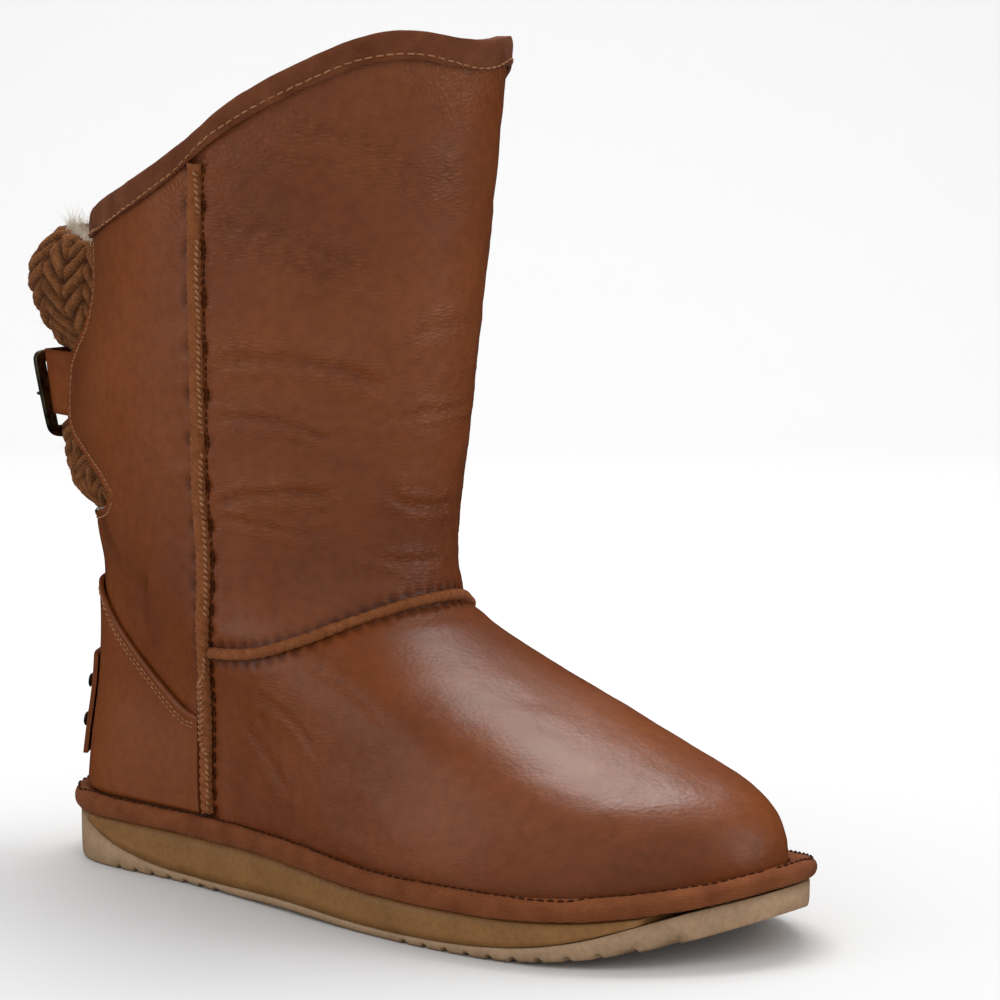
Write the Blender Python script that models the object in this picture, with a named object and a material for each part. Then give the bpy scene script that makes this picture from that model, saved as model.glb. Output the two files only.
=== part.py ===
"""Right sheepskin ankle boot: hollow upper on its last shape, sole stack, knitted back gusset and strap.

The toe points along -Y, the inner side of the foot is +X and up is +Z. Sizes are in millimetres and
become metres when a mesh is made. A point is worked out as (along, side, height): along runs from the back
of the heel to the toe, side is negative on the outer side of the foot, height is above the floor.
"""

import math

import bmesh
import bpy
import numpy as np
from mathutils import Matrix, Vector
from mathutils.bvhtree import BVHTree

# Sole
SOLE_LENGTH = 268.0
BALL_WIDTH = 105.0
HEEL_STACK = 15.6
BALL_STACK = 12.4
TOE_STACK = 7.4
TOE_SPRING = 12.6
SPRING_START = 0.68
ARCH_LIFT = 0.9
TREAD_DEPTH = 1.5
TREAD_PITCH = 7.4
TREAD_GROOVE = 2.6
TREAD_HEEL = (0.13, 0.33)
TREAD_FOREFOOT = (0.63, 0.955)
SOLE_EDGE_ROUND = 1.0
INSOLE_THICKNESS = 5.5

# Foxing tape around the platform
FOXING_HEIGHT = 6.9
FOXING_PROUD = 2.4

# Upper
WALL = 3.0
GAP = 0.3
COLLAR_FRONT = 262.0
COLLAR_BACK = 203.0
COLLAR_INNER_DROP = 12.0
SHAFT_DEPTH = 147.0
SHAFT_WIDTH = 103.0

# Collar tape
TAPE_DROP = 7.5
TAPE_THICKNESS = 1.1

# Raised seams
SIDE_SEAM_WIDTH = 4.8
SIDE_SEAM_PROUD = 2.0
VAMP_SEAM_WIDTH = 3.4
VAMP_SEAM_PROUD = 1.9
VAMP_PEAK = 92.0

# Heel counter, patch and rivets
COUNTER_THICKNESS = 1.2
COUNTER_BACK = 90.0
PATCH_BOTTOM = 32.0
PATCH_TOP = 65.0
PATCH_HALF = 26.0
PATCH_THICKNESS = 1.5
RIVET_DIAMETER = 5.0
RIVET_PROUD = 1.2
RIVET_INSET = 5.0
RIVET_SPACING = 13.0

# Back opening, knitted gusset and strap
OPENING_BOTTOM = 110.4
OPENING_HALF = 31.0
KNIT_THICKNESS = 4.5
KNIT_FLANGE = 6.0
KNIT_BULGE = 44.0
KNIT_LOWER = 3.0
KNIT_HEM = 1.8
TAB_LIFT = 23.0
TAB_SPREAD = 25.0
STRAP_HEIGHT = 150.0
STRAP_WIDTH = 21.0
STRAP_THICKNESS = 2.0
STRAP_HALF = 27.0
STRAP_STAND = 2.2
STRAP_TILT = 10.0
STRAP_TUCK = 1.2
STRAP_EMERGE = 6.0
STRAP_CLEAR = 4.0
BUCKLE_WIDTH = 24.0
BUCKLE_HEIGHT = 29.5
BUCKLE_BAR = 4.0
BUCKLE_CORNER = 2.2
BUCKLE_THICKNESS = 2.8
BUCKLE_TILT = 15.0
BUCKLE_DROP = 4.5
PRONG_DIAMETER = 1.8
CHAPE_THICKNESS = 1.1
CHAPE_HEIGHT = 15.0
CHAPE_SLOT = 3.4
CHAPE_TAIL = 2.0

# Mesh fineness
AROUND = 48
LEVELS = 25
MM = 0.001

# Sole outline: share of length, half width and middle line as shares of the ball width
OUTLINE = (
    (0.000, 0.000, -0.010),
    (0.026, 0.222, -0.010),
    (0.063, 0.322, -0.011),
    (0.100, 0.364, -0.012),
    (0.160, 0.380, -0.014),
    (0.230, 0.384, -0.020),
    (0.317, 0.386, -0.050),
    (0.410, 0.402, -0.080),
    (0.500, 0.438, -0.092),
    (0.582, 0.472, -0.090),
    (0.664, 0.494, -0.087),
    (0.735, 0.500, -0.083),
    (0.810, 0.483, -0.078),
    (0.873, 0.432, -0.064),
    (0.925, 0.348, -0.045),
    (0.965, 0.238, -0.016),
    (1.000, 0.000, 0.010),
)

# Upper levels: height at the back and at the front as shares of the collar front, back and front ends as
# shares of the sole length, half width as a share of the ball width, how oval the ring is, how much of the
# platform's dip it keeps, and how much of the collar's own line it follows
UPPER_LEVELS = (
    (0.000, 0.059, 0.077, 0.0140, 0.9750, 0.466, 0.00, 1.0, 0.0),
    (0.060, 0.088, 0.106, 0.0140, 0.9750, 0.466, 0.00, 1.0, 0.0),
    (0.120, 0.128, 0.130, 0.0160, 0.9720, 0.460, 0.03, 0.8, 0.0),
    (0.180, 0.160, 0.152, 0.0190, 0.9610, 0.449, 0.08, 0.6, 0.0),
    (0.240, 0.192, 0.174, 0.0230, 0.9360, 0.437, 0.15, 0.4, 0.0),
    (0.300, 0.222, 0.196, 0.0270, 0.8780, 0.427, 0.22, 0.3, 0.0),
    (0.360, 0.250, 0.231, 0.0300, 0.7810, 0.420, 0.32, 0.2, 0.0),
    (0.420, 0.280, 0.264, 0.0330, 0.6830, 0.417, 0.44, 0.1, 0.0),
    (0.480, 0.312, 0.296, 0.0355, 0.5910, 0.416, 0.60, 0.0, 0.0),
    (0.540, 0.345, 0.335, 0.0355, 0.5170, 0.418, 0.78, 0.0, 0.0),
    (0.600, 0.385, 0.385, 0.0265, 0.5070, 0.424, 0.92, 0.0, 0.0),
    (0.660, 0.440, 0.447, 0.0185, 0.5110, 0.433, 1.00, 0.0, 0.0),
    (0.720, 0.510, 0.530, 0.0200, 0.5220, 0.450, 1.00, 0.0, 0.0),
    (0.800, 0.600, 0.655, 0.0260, 0.5350, 0.472, 1.00, 0.0, 0.1),
    (0.880, 0.690, 0.795, 0.0290, 0.5530, 0.484, 1.00, 0.0, 0.4),
    (0.950, 0.750, 0.920, 0.0300, 0.5680, 0.489, 1.00, 0.0, 0.8),
    (1.000, 0.787, 1.000, 0.0300, 0.5780, 0.491, 1.00, 0.0, 1.0),
)

# Where the rings of the mesh lie: share of the rings, level. They crowd at the instep's crease
LEVEL_SPACING = (
    (0.00, 0.00),
    (0.10, 0.12),
    (0.36, 0.44),
    (0.54, 0.61),
    (0.60, 0.66),
    (0.86, 0.81),
    (1.00, 1.00),
)

# Collar line: share of the ring from back to front, share of the rise from the low back to the front
COLLAR_RISE = (
    (0.00, 0.000),
    (0.09, 0.055),
    (0.31, 0.232),
    (0.43, 0.365),
    (0.50, 0.470),
    (0.54, 0.550),
    (0.63, 0.688),
    (0.71, 0.797),
    (0.78, 0.882),
    (0.83, 0.945),
    (0.89, 1.010),
    (0.95, 1.030),
    (1.00, 0.975),
)

# Side seam: level, share of the sole length
SIDE_SEAM = (
    (0.00, 0.302),
    (0.10, 0.292),
    (0.25, 0.287),
    (0.36, 0.291),
    (0.48, 0.302),
    (0.60, 0.304),
    (0.68, 0.301),
    (0.76, 0.309),
    (0.90, 0.316),
    (1.00, 0.321),
)

# Vamp seam: share of the sole length, share of its peak over the instep
VAMP_SEAM = (
    (0.280, 0.813),
    (0.330, 0.818),
    (0.388, 0.837),
    (0.434, 0.884),
    (0.465, 0.922),
    (0.488, 0.962),
    (0.502, 0.987),
    (0.513, 1.000),
    (0.600, 1.010),
)

# Top edge of the heel counter: share of the sole length, share of its height at the back
COUNTER_EDGE = (
    (-0.20, 1.000),
    (0.03, 1.000),
    (0.07, 0.985),
    (0.12, 0.880),
    (0.16, 0.785),
    (0.19, 0.700),
    (0.21, 0.645),
    (0.24, 0.608),
    (0.27, 0.586),
    (0.31, 0.575),
    (0.40, 0.570),
)

# Stations of the back opening are 0 at the strap, -1 at the opening's lower end and 1 at the collar's back.
# Back opening: station, half width as a share of the widest
OPENING = (
    (-1.000, 0.00),
    (-0.985, 0.62),
    (-0.955, 1.02),
    (-0.800, 1.30),
    (-0.625, 1.16),
    (-0.470, 0.82),
    (-0.355, 0.64),
    (-0.210, 0.58),
    (0.093, 0.58),
    (0.190, 0.66),
    (0.286, 0.82),
    (0.420, 0.99),
    (0.615, 1.03),
    (1.000, 1.00),
    (1.400, 0.98),
)

# Knitted gusset at its middle: station, swell as a share of the fullest
KNIT_SWELL = (
    (-1.220, 0.00),
    (-1.060, 0.40),
    (-0.940, 0.80),
    (-0.780, 0.72),
    (-0.575, 0.70),
    (-0.370, 0.70),
    (-0.080, 0.71),
    (0.254, 0.73),
    (0.327, 0.86),
    (0.411, 0.92),
    (0.505, 0.96),
    (0.600, 1.01),
    (0.670, 1.05),
    (0.725, 1.04),
    (0.770, 0.99),
    (0.820, 0.91),
    (0.880, 0.81),
    (0.940, 0.70),
)

# Line where the pale outsole meets the amber midsole: share of length, share of the stack's thickness
SPLIT = (
    (0.000, 1.00),
    (0.060, 0.98),
    (0.110, 0.62),
    (0.165, 0.36),
    (0.230, 0.20),
    (0.320, 0.18),
    (0.660, 0.22),
    (0.780, 0.32),
    (0.860, 0.50),
    (0.920, 0.80),
    (0.965, 1.00),
    (1.000, 1.00),
)

# Foxing tape section: share of the width from the upper outwards, share of the height
FOXING_SECTION = (
    (0.00, 0.00),
    (0.74, 0.00),
    (0.93, 0.14),
    (1.00, 0.42),
    (0.93, 0.72),
    (0.70, 0.94),
    (0.36, 1.00),
    (0.00, 0.92),
)


def smooth(table, column, at):
    """A table column at the given places, along a smooth curve that doesn't overshoot its rows."""
    xs = np.array([row[0] for row in table], float)
    ys = np.array([row[column] for row in table], float)
    at = np.clip(np.asarray(at, float), xs[0], xs[-1])
    step = np.diff(xs)
    slope = np.diff(ys) / step
    tangent = np.zeros_like(xs)
    same = slope[:-1] * slope[1:] > 0
    left, right = step[:-1], step[1:]
    mean = (3 * (left + right)) / (
        (2 * right + left) / np.where(same, slope[:-1], 1.0)
        + (right + 2 * left) / np.where(same, slope[1:], 1.0)
    )
    tangent[1:-1] = np.where(same, mean, 0.0)
    tangent[0] = slope[0]
    tangent[-1] = slope[-1]
    i = np.clip(np.searchsorted(xs, at, side="right") - 1, 0, len(xs) - 2)
    t = (at - xs[i]) / step[i]
    return (
        ys[i] * (1 + 2 * t) * (1 - t) ** 2
        + tangent[i] * step[i] * t * (1 - t) ** 2
        + ys[i + 1] * t * t * (3 - 2 * t)
        + tangent[i + 1] * step[i] * t * t * (t - 1)
    )


def turn_of(share):
    return np.arccos(np.clip(1 - 2 * np.asarray(share, float), -1, 1))


# The outline is kept against the turn round the ring, which makes its two ends round
OUTLINE_BY_TURN = tuple((float(turn_of(row[0])), row[1], row[2]) for row in OUTLINE)


def half_of_outline(turn):
    return smooth(OUTLINE_BY_TURN, 1, turn)


def middle_of_outline(turn):
    return smooth(OUTLINE_BY_TURN, 2, turn)


def share_of(turn):
    return (1 - np.cos(turn)) / 2


def fold(turn):
    """The turn folded onto 0 at the heel to pi at the toe, and the side it is on."""
    turn = np.mod(np.asarray(turn, float), 2 * math.pi)
    return np.where(turn <= math.pi, turn, 2 * math.pi - turn), np.where(turn <= math.pi, -1.0, 1.0)


def spring(along):
    past = np.clip((np.asarray(along, float) / SOLE_LENGTH - SPRING_START) / (1 - SPRING_START), 0, None)
    share = np.asarray(along, float) / SOLE_LENGTH
    arch = ARCH_LIFT * np.clip(1 - ((share - 0.45) / 0.14) ** 2, 0, 1) ** 2
    return TOE_SPRING * past**2.8 + arch


def stack(along):
    share = np.asarray(along, float) / SOLE_LENGTH
    table = (
        (-0.1, HEEL_STACK),
        (0.32, HEEL_STACK),
        (0.60, BALL_STACK),
        (0.74, BALL_STACK * 0.97),
        (0.90, (BALL_STACK + TOE_STACK) / 2),
        (1.00, TOE_STACK),
        (1.10, TOE_STACK),
    )
    return smooth(table, 1, share)


def platform(along):
    """Height of the top of the sole stack."""
    return spring(np.clip(along, 0, SOLE_LENGTH)) + stack(along)


def sole_point(turn, grow=0.0):
    """A point of the sole's outline, moved out by grow along the outline's own normal."""
    turn = np.asarray(turn, float)

    def place(at):
        folded, side = fold(at)
        half = half_of_outline(folded) * BALL_WIDTH
        middle = middle_of_outline(folded) * BALL_WIDTH
        return share_of(folded) * SOLE_LENGTH, middle + side * half

    along, across = place(turn)
    before = place(turn - 0.004)
    after = place(turn + 0.004)
    run = np.stack([after[0] - before[0], after[1] - before[1]], -1)
    run /= np.linalg.norm(run, axis=-1, keepdims=True)
    return along + run[..., 1] * grow, across - run[..., 0] * grow


def tab_lift(across, height):
    """How far the leather tabs stand back off the ring where the strap draws them over the knit."""
    half = STRAP_WIDTH / 2
    table = (
        (0.0, 0.0),
        (STRAP_HEIGHT - half * 3.2, 0.0),
        (STRAP_HEIGHT - half * 2.2, 0.42),
        (STRAP_HEIGHT - half * 1.3, 1.0),
        (STRAP_HEIGHT + half * 1.3, 1.0),
        (STRAP_HEIGHT + half * 2.1, 0.40),
        (STRAP_HEIGHT + half * 3.0, 0.0),
        (STRAP_HEIGHT * 3, 0.0),
    )
    return TAB_LIFT * smooth(table, 1, height) * np.exp(-((across / TAB_SPREAD) ** 2))


def upper_surface(turn, level):
    """The outside of the upper, before any opening is cut."""
    folded, side = fold(turn)
    level = np.clip(np.asarray(level, float), 0, 1)
    back_height, front_height, back, front, half, oval, dip, collar = (
        smooth(UPPER_LEVELS, column, level) for column in range(1, 9)
    )
    share = share_of(folded)
    top = UPPER_LEVELS[-1]
    deeper = SHAFT_DEPTH / (SOLE_LENGTH * (top[4] - top[3]))
    wider = SHAFT_WIDTH / (BALL_WIDTH * top[5] * 2)
    back = back * SOLE_LENGTH
    front = front * SOLE_LENGTH
    reach = np.clip((level - 0.5) / 0.5, 0, 1)
    front = front + (deeper - 1) * (front - back) * reach
    along = back + (front - back) * share
    from_sole = half_of_outline(folded) / 0.5
    from_oval = np.sin(folded)
    grow = 1 + (wider - 1) * reach
    half_width = half * BALL_WIDTH * grow * (from_sole * (1 - oval) + from_oval * oval)
    middle = BALL_WIDTH * (middle_of_outline(folded) * (1 - oval) - 0.012 * oval)
    across = middle + side * half_width
    rise = share * (1 - collar) + smooth(COLLAR_RISE, 1, share) * collar
    scale = COLLAR_FRONT
    low = back_height * scale * (1 - collar) + collar * back_height / top[1] * COLLAR_BACK
    height = low + (front_height * scale - low) * rise
    height = height - COLLAR_INNER_DROP * collar * np.clip(side, 0, 1) * (np.sin(folded) * share) ** 2
    straight = platform(0.0) + (platform(SOLE_LENGTH) - platform(0.0)) * share
    height = height + dip * (platform(along) - straight)
    rear = np.clip((0.45 - share) / 0.2, 0, 1)
    along = along - tab_lift(across, height) * rear
    return np.stack([along, across, height], -1)


def upper_normal(turn, level):
    turn = np.asarray(turn, float)
    level = np.asarray(level, float)
    step_turn, step_level = 0.02, 0.006
    up = upper_surface(turn, np.clip(level + step_level, 0, 1)) - upper_surface(
        turn, np.clip(level - step_level, 0, 1)
    )
    across = upper_surface(turn + step_turn, level) - upper_surface(turn - step_turn, level)
    normal = np.cross(across, up)
    return normal / np.linalg.norm(normal, axis=-1, keepdims=True)


def upper_point(turn, level, out=0.0):
    return upper_surface(turn, level) + upper_normal(turn, level) * out


def level_at_height(turn, height):
    """The level at which the upper reaches a height, for each turn."""
    turn, height = np.broadcast_arrays(np.asarray(turn, float), np.asarray(height, float))
    low = np.zeros(turn.shape)
    high = np.ones(turn.shape)
    for _ in range(30):
        mid = (low + high) / 2
        under = upper_surface(turn, mid)[..., 2] < height
        low = np.where(under, mid, low)
        high = np.where(under, high, mid)
    return (low + high) / 2


def level_on_line(turn, height_at):
    """The level of the upper, for each turn, on a line given as a height over the distance from the heel."""
    level = np.full(np.shape(turn), 0.45)
    for _ in range(12):
        level = level_at_height(turn, height_at(upper_surface(turn, level)[..., 0]))
    return level


def turn_at_along(level, along, side):
    """The turn at which a ring passes a distance from the heel, on one side."""
    low = np.zeros(np.shape(level))
    high = np.full(np.shape(level), math.pi)
    for _ in range(30):
        mid = (low + high) / 2
        under = upper_surface(mid, level)[..., 0] < along
        low = np.where(under, mid, low)
        high = np.where(under, high, mid)
    middle = (low + high) / 2
    return middle if side < 0 else 2 * math.pi - middle


def to_world(points):
    points = np.asarray(points, float).reshape(-1, 3)
    return np.stack([points[:, 1], SOLE_LENGTH / 2 - points[:, 0], points[:, 2]], -1) * MM


def material(name, colour, roughness, metallic=0.0):
    made = bpy.data.materials.new(name)
    made.use_nodes = True
    shader = made.node_tree.nodes["Principled BSDF"]
    shader.inputs["Base Color"].default_value = (*colour, 1.0)
    shader.inputs["Roughness"].default_value = roughness
    shader.inputs["Metallic"].default_value = metallic
    made.diffuse_color = (*colour, 1.0)
    return made


def solid(name, points, faces, look, smooth_faces=True):
    """An object from points in (along, side, height) and faces, its normals turned outwards."""
    mesh = bpy.data.meshes.new(name)
    mesh.from_pydata([tuple(point) for point in to_world(points)], [], [tuple(face) for face in faces])
    body = bmesh.new()
    body.from_mesh(mesh)
    bmesh.ops.remove_doubles(body, verts=body.verts, dist=1e-7)
    bmesh.ops.triangulate(body, faces=[face for face in body.faces if len(face.verts) > 4])
    bmesh.ops.recalc_face_normals(body, faces=body.faces)
    if body.calc_volume(signed=True) < 0:
        bmesh.ops.reverse_faces(body, faces=body.faces)
    body.to_mesh(mesh)
    body.free()
    for face in mesh.polygons:
        face.use_smooth = smooth_faces
    mesh.materials.append(look)
    made = bpy.data.objects.new(name, mesh)
    bpy.context.scene.collection.objects.link(made)
    return made


def ring_faces(rows, columns, closed_rows=False):
    """Faces between rows of points, each row a closed ring."""
    faces = []
    last = rows if closed_rows else rows - 1
    for row in range(last):
        below = row * columns
        above = ((row + 1) % rows) * columns
        for column in range(columns):
            after = (column + 1) % columns
            faces.append((below + column, below + after, above + after, above + column))
    return faces


def tube(sections, closed):
    """Points and faces of a body swept through equal sections, closed on itself or capped at both ends."""
    sections = np.asarray(sections, float)
    rows, columns = sections.shape[:2]
    faces = ring_faces(rows, columns, closed)
    if not closed:
        faces.append(tuple(range(columns)))
        faces.append(tuple(range((rows - 1) * columns, rows * columns)))
    return sections.reshape(-1, 3), faces


def slab(outer, inner):
    """Points and faces of a curved plate between two grids of the same size."""
    rows, columns = outer.shape[:2]
    count = rows * columns

    def at(grid, row, column):
        return grid * count + row * columns + column

    faces = []
    for row in range(rows - 1):
        for column in range(columns - 1):
            for grid in (0, 1):
                quad = (
                    at(grid, row, column),
                    at(grid, row, column + 1),
                    at(grid, row + 1, column + 1),
                    at(grid, row + 1, column),
                )
                faces.append(quad if grid == 0 else quad[::-1])
    rim = [(0, column) for column in range(columns)]
    rim += [(row, columns - 1) for row in range(1, rows)]
    rim += [(rows - 1, column) for column in range(columns - 2, -1, -1)]
    rim += [(row, 0) for row in range(rows - 2, 0, -1)]
    for here, there in zip(rim, rim[1:] + rim[:1]):
        faces.append((at(0, *there), at(0, *here), at(1, *here), at(1, *there)))
    return np.concatenate([outer.reshape(-1, 3), inner.reshape(-1, 3)]), faces


def cut(target, cutter):
    cutter.hide_render = True
    cutter.display_type = "WIRE"
    change = target.modifiers.new("cut", "BOOLEAN")
    change.operation = "DIFFERENCE"
    change.solver = "EXACT"
    change.object = cutter
    bpy.context.view_layer.objects.active = target
    bpy.context.view_layer.update()
    graph = bpy.context.evaluated_depsgraph_get()
    result = bpy.data.meshes.new_from_object(target.evaluated_get(graph))
    target.modifiers.remove(change)
    target.data = result
    bpy.data.objects.remove(cutter)


def sole_stations(tread):
    """Shares of the length at which the sole is sectioned, and how deep the tread groove is at each."""
    turns = np.linspace(0, math.pi, 33)[1:-1]
    plain = [(float(share_of(turn)) * SOLE_LENGTH, 0.0) for turn in turns]
    if not tread:
        return plain
    grooves = []
    for start, end in (TREAD_HEEL, TREAD_FOREFOOT):
        count = max(1, int((end - start) * SOLE_LENGTH / TREAD_PITCH))
        for number in range(count):
            middle = (start + (end - start) * (number + 0.5) / count) * SOLE_LENGTH
            grooves.append(middle)
    wide = TREAD_GROOVE / 2
    kept = [row for row in plain if all(abs(row[0] - middle) > wide + 1.2 for middle in grooves)]
    for middle in grooves:
        kept += [
            (middle - wide, 0.0),
            (middle - wide + 0.5, 1.0),
            (middle + wide - 0.5, 1.0),
            (middle + wide, 0.0),
        ]
    return sorted(kept)


def sole_layer(name, look, bottom, top, tread, edge, start, end):
    """A layer of the sole between two heights, sectioned across the foot."""
    sections = []
    for along, groove in sole_stations(tread):
        if not start < along < end:
            continue
        turn = float(turn_of(along / SOLE_LENGTH))
        low = float(bottom(along))
        high = float(top(along))
        cutting = low + groove * TREAD_DEPTH
        section = []
        outer = [sole_point(turn, 0.0), sole_point(2 * math.pi - turn, 0.0)]
        lateral, medial = float(outer[0][1]), float(outer[1][1])
        tuck = min(edge, (medial - lateral) * 0.2)
        shoulder = cutting if groove else low
        section.append((along, lateral + tuck, cutting))
        section.append((along, medial - tuck, cutting))
        section.append((along, medial, max(shoulder, low + edge)))
        section.append((along, medial, high))
        section.append((along, lateral, high))
        section.append((along, lateral, max(shoulder, low + edge)))
        sections.append(section)
    points, faces = tube(sections, False)
    return solid(name, points, faces, look, False)


def split_height(along):
    return spring(along) + stack(along) * smooth(SPLIT, 1, along / SOLE_LENGTH)


def build_outsole(look):
    def top(along):
        return split_height(along)

    return sole_layer("outsole", look, spring, top, True, SOLE_EDGE_ROUND, 0.4, SOLE_LENGTH - 0.4)


def build_midsole(look):
    def bottom(along):
        return split_height(along) + GAP

    def top(along):
        return platform(along)

    shares = np.linspace(0, 1, 801)
    thick = platform(shares * SOLE_LENGTH) - split_height(shares * SOLE_LENGTH) - GAP
    body = shares[thick > 0.5] * SOLE_LENGTH
    return sole_layer("midsole", look, bottom, top, False, 0.0, body[0], body[-1])


def build_foxing(look):
    turns = np.linspace(0, 2 * math.pi, AROUND, endpoint=False)
    sections = []
    for turn in turns:
        inner = upper_point(turn, 0.03, GAP)
        outer_along, outer_across = sole_point(turn, FOXING_PROUD)
        section = []
        for outwards, upwards in FOXING_SECTION:
            along = inner[0] + (float(outer_along) - inner[0]) * outwards
            across = inner[1] + (float(outer_across) - inner[1]) * outwards
            section.append((along, across, float(platform(along)) + GAP + FOXING_HEIGHT * upwards))
        sections.append(section)
    points, faces = tube(sections, True)
    return solid("foxing_tape", points, faces, look)


def build_insole(look):
    turns = np.linspace(0, 2 * math.pi, AROUND, endpoint=False)
    ring = upper_point(turns, np.full(AROUND, 0.02), -WALL - GAP)
    base = platform(ring[:, 0]) + GAP
    points = []
    faces = []
    for lift, pull in ((0.0, 0.0), (INSOLE_THICKNESS - 1.2, 0.0), (INSOLE_THICKNESS, 1.2)):
        middle = np.array([SOLE_LENGTH * 0.5, 0.0])
        for index in range(AROUND):
            flat = ring[index, :2]
            away = flat - middle
            flat = flat - away / np.linalg.norm(away) * pull
            points.append((flat[0], flat[1], base[index] + lift))
    faces += ring_faces(3, AROUND)
    half = AROUND // 2
    for layer in (0, 2):
        start = layer * AROUND
        for index in range(half):
            left, right = index, (AROUND - index) % AROUND
            next_left, next_right = index + 1, (AROUND - index - 1) % AROUND
            corners = [left, next_left, next_right, right]
            kept = [corner for number, corner in enumerate(corners) if corner not in corners[:number]]
            faces.append(tuple(start + corner for corner in kept))
    return solid("insole", points, faces, look)


def build_upper_wall(look):
    """The whole wall of the upper, open at the collar and underneath."""
    turns = np.linspace(0, 2 * math.pi, AROUND, endpoint=False)
    levels = smooth(LEVEL_SPACING, 1, np.linspace(0, 1, LEVELS))
    grid_turn, grid_level = np.meshgrid(turns, levels)
    outer = upper_point(grid_turn, grid_level)
    inner = upper_point(grid_turn, grid_level, -WALL)
    for grid in (outer, inner):
        grid[0, :, 2] = platform(grid[0, :, 0]) + GAP
    inner[-1, :, 2] = outer[-1, :, 2]
    points, faces = tube(np.concatenate([outer, inner[::-1]]), False)
    faces = faces[:-2] + [
        (column, (column + 1) % AROUND, (2 * LEVELS - 1) * AROUND + (column + 1) % AROUND,
         (2 * LEVELS - 1) * AROUND + column)
        for column in range(AROUND)
    ]
    return solid("upper", points, faces, look)


def station_of(height):
    """Where a height stands on the back opening: -1 at its lower end, 0 at the strap, 1 at the collar's back."""
    rise = np.asarray(height, float) - STRAP_HEIGHT
    return np.where(rise < 0, rise / (STRAP_HEIGHT - OPENING_BOTTOM), rise / (COLLAR_BACK - STRAP_HEIGHT))


def opening_half(height):
    return OPENING_HALF * smooth(OPENING, 1, station_of(height))


def build_opening_cutter(look):
    heights = np.concatenate(
        [
            OPENING_BOTTOM + np.array([0.0, 0.5, 1.8, 4.5]),
            np.linspace(OPENING_BOTTOM + 9, COLLAR_BACK * 1.09, 22),
        ]
    )
    halves = np.maximum(opening_half(heights), 0.0)
    halves[0] = halves[1] * 0.6
    outline = [(half, height) for half, height in zip(halves, heights)]
    outline += [(-half, height) for half, height in zip(halves[::-1], heights[::-1])]
    sections = []
    for along in (-70.0, SHAFT_DEPTH * 0.34):
        sections.append([(along, across, height) for across, height in outline])
    points, faces = tube(sections, False)
    return solid("opening_cutter", points, faces, look, False)


def tree_of(thing):
    mesh = thing.data
    points = [thing.matrix_world @ vertex.co for vertex in mesh.vertices]
    return BVHTree.FromPolygons(points, [tuple(face.vertices) for face in mesh.polygons])


def inner_wall(tree, turns, heights):
    """Places on the inside of the upper's own mesh, seen from the leg's axis, and the way inwards at each."""
    targets = upper_surface(turns, level_at_height(turns, heights))
    places = []
    inwards = []
    for target in targets:
        axis = to_world((SHAFT_DEPTH * 0.47, 0.0, target[2]))[0]
        place, normal, _, _ = tree.ray_cast(Vector(axis), Vector(to_world(target)[0] - axis))
        places.append((SOLE_LENGTH / 2 - place.y / MM, place.x / MM, place.z / MM))
        inwards.append((-normal.y, normal.x, normal.z))
    return np.array(places), np.array(inwards)


def back_wall(tree, across, height):
    """How far from the heel's back the inside of the upper is, straight behind a place on the leg's axis."""
    origin = Vector(to_world((SHAFT_DEPTH * 0.47, across, height))[0])
    place = tree.ray_cast(origin, Vector((0, 1, 0)))[0]
    return SOLE_LENGTH / 2 - place.y / MM


def inside_of_opening(across, height, outline):
    """Distance from a place on the back to the edge of the opening, negative outside it."""
    place = np.array([across, height])
    start = outline[:-1]
    run = outline[1:] - start
    share = np.clip(((place - start) * run).sum(1) / np.maximum((run * run).sum(1), 1e-9), 0, 1)
    distance = np.linalg.norm(start + run * share[:, None] - place, axis=1).min()
    return distance if abs(across) < float(opening_half(height)) else -distance


def knit_heights():
    """Heights of the gusset's rows: they crowd where it tucks under the strap and where it rolls over at the top."""
    half = STRAP_WIDTH / 2
    low = OPENING_BOTTOM - KNIT_FLANGE * 0.8
    under = STRAP_HEIGHT - half - 1.0
    over = STRAP_HEIGHT + half + 1.0
    rows = [low, OPENING_BOTTOM, OPENING_BOTTOM + 3.5]
    rows += list(np.linspace(OPENING_BOTTOM + 7.5, under - 3.5, 4))
    rows += [under, STRAP_HEIGHT, over]
    shares = (1 - np.cos(np.linspace(0, math.pi, 10)[1:])) / 2
    return np.array(rows + list(over + (COLLAR_BACK - KNIT_LOWER - over) * shares))


def opening_outline():
    """The opening's edge as points (side, height), from its lower end up one side and down the other."""
    heights = np.linspace(OPENING_BOTTOM, COLLAR_BACK * 1.09, 160)
    half = opening_half(heights)
    left = np.stack([-half, heights], -1)[::-1]
    return np.concatenate([left, np.stack([half, heights], -1)])


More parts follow.
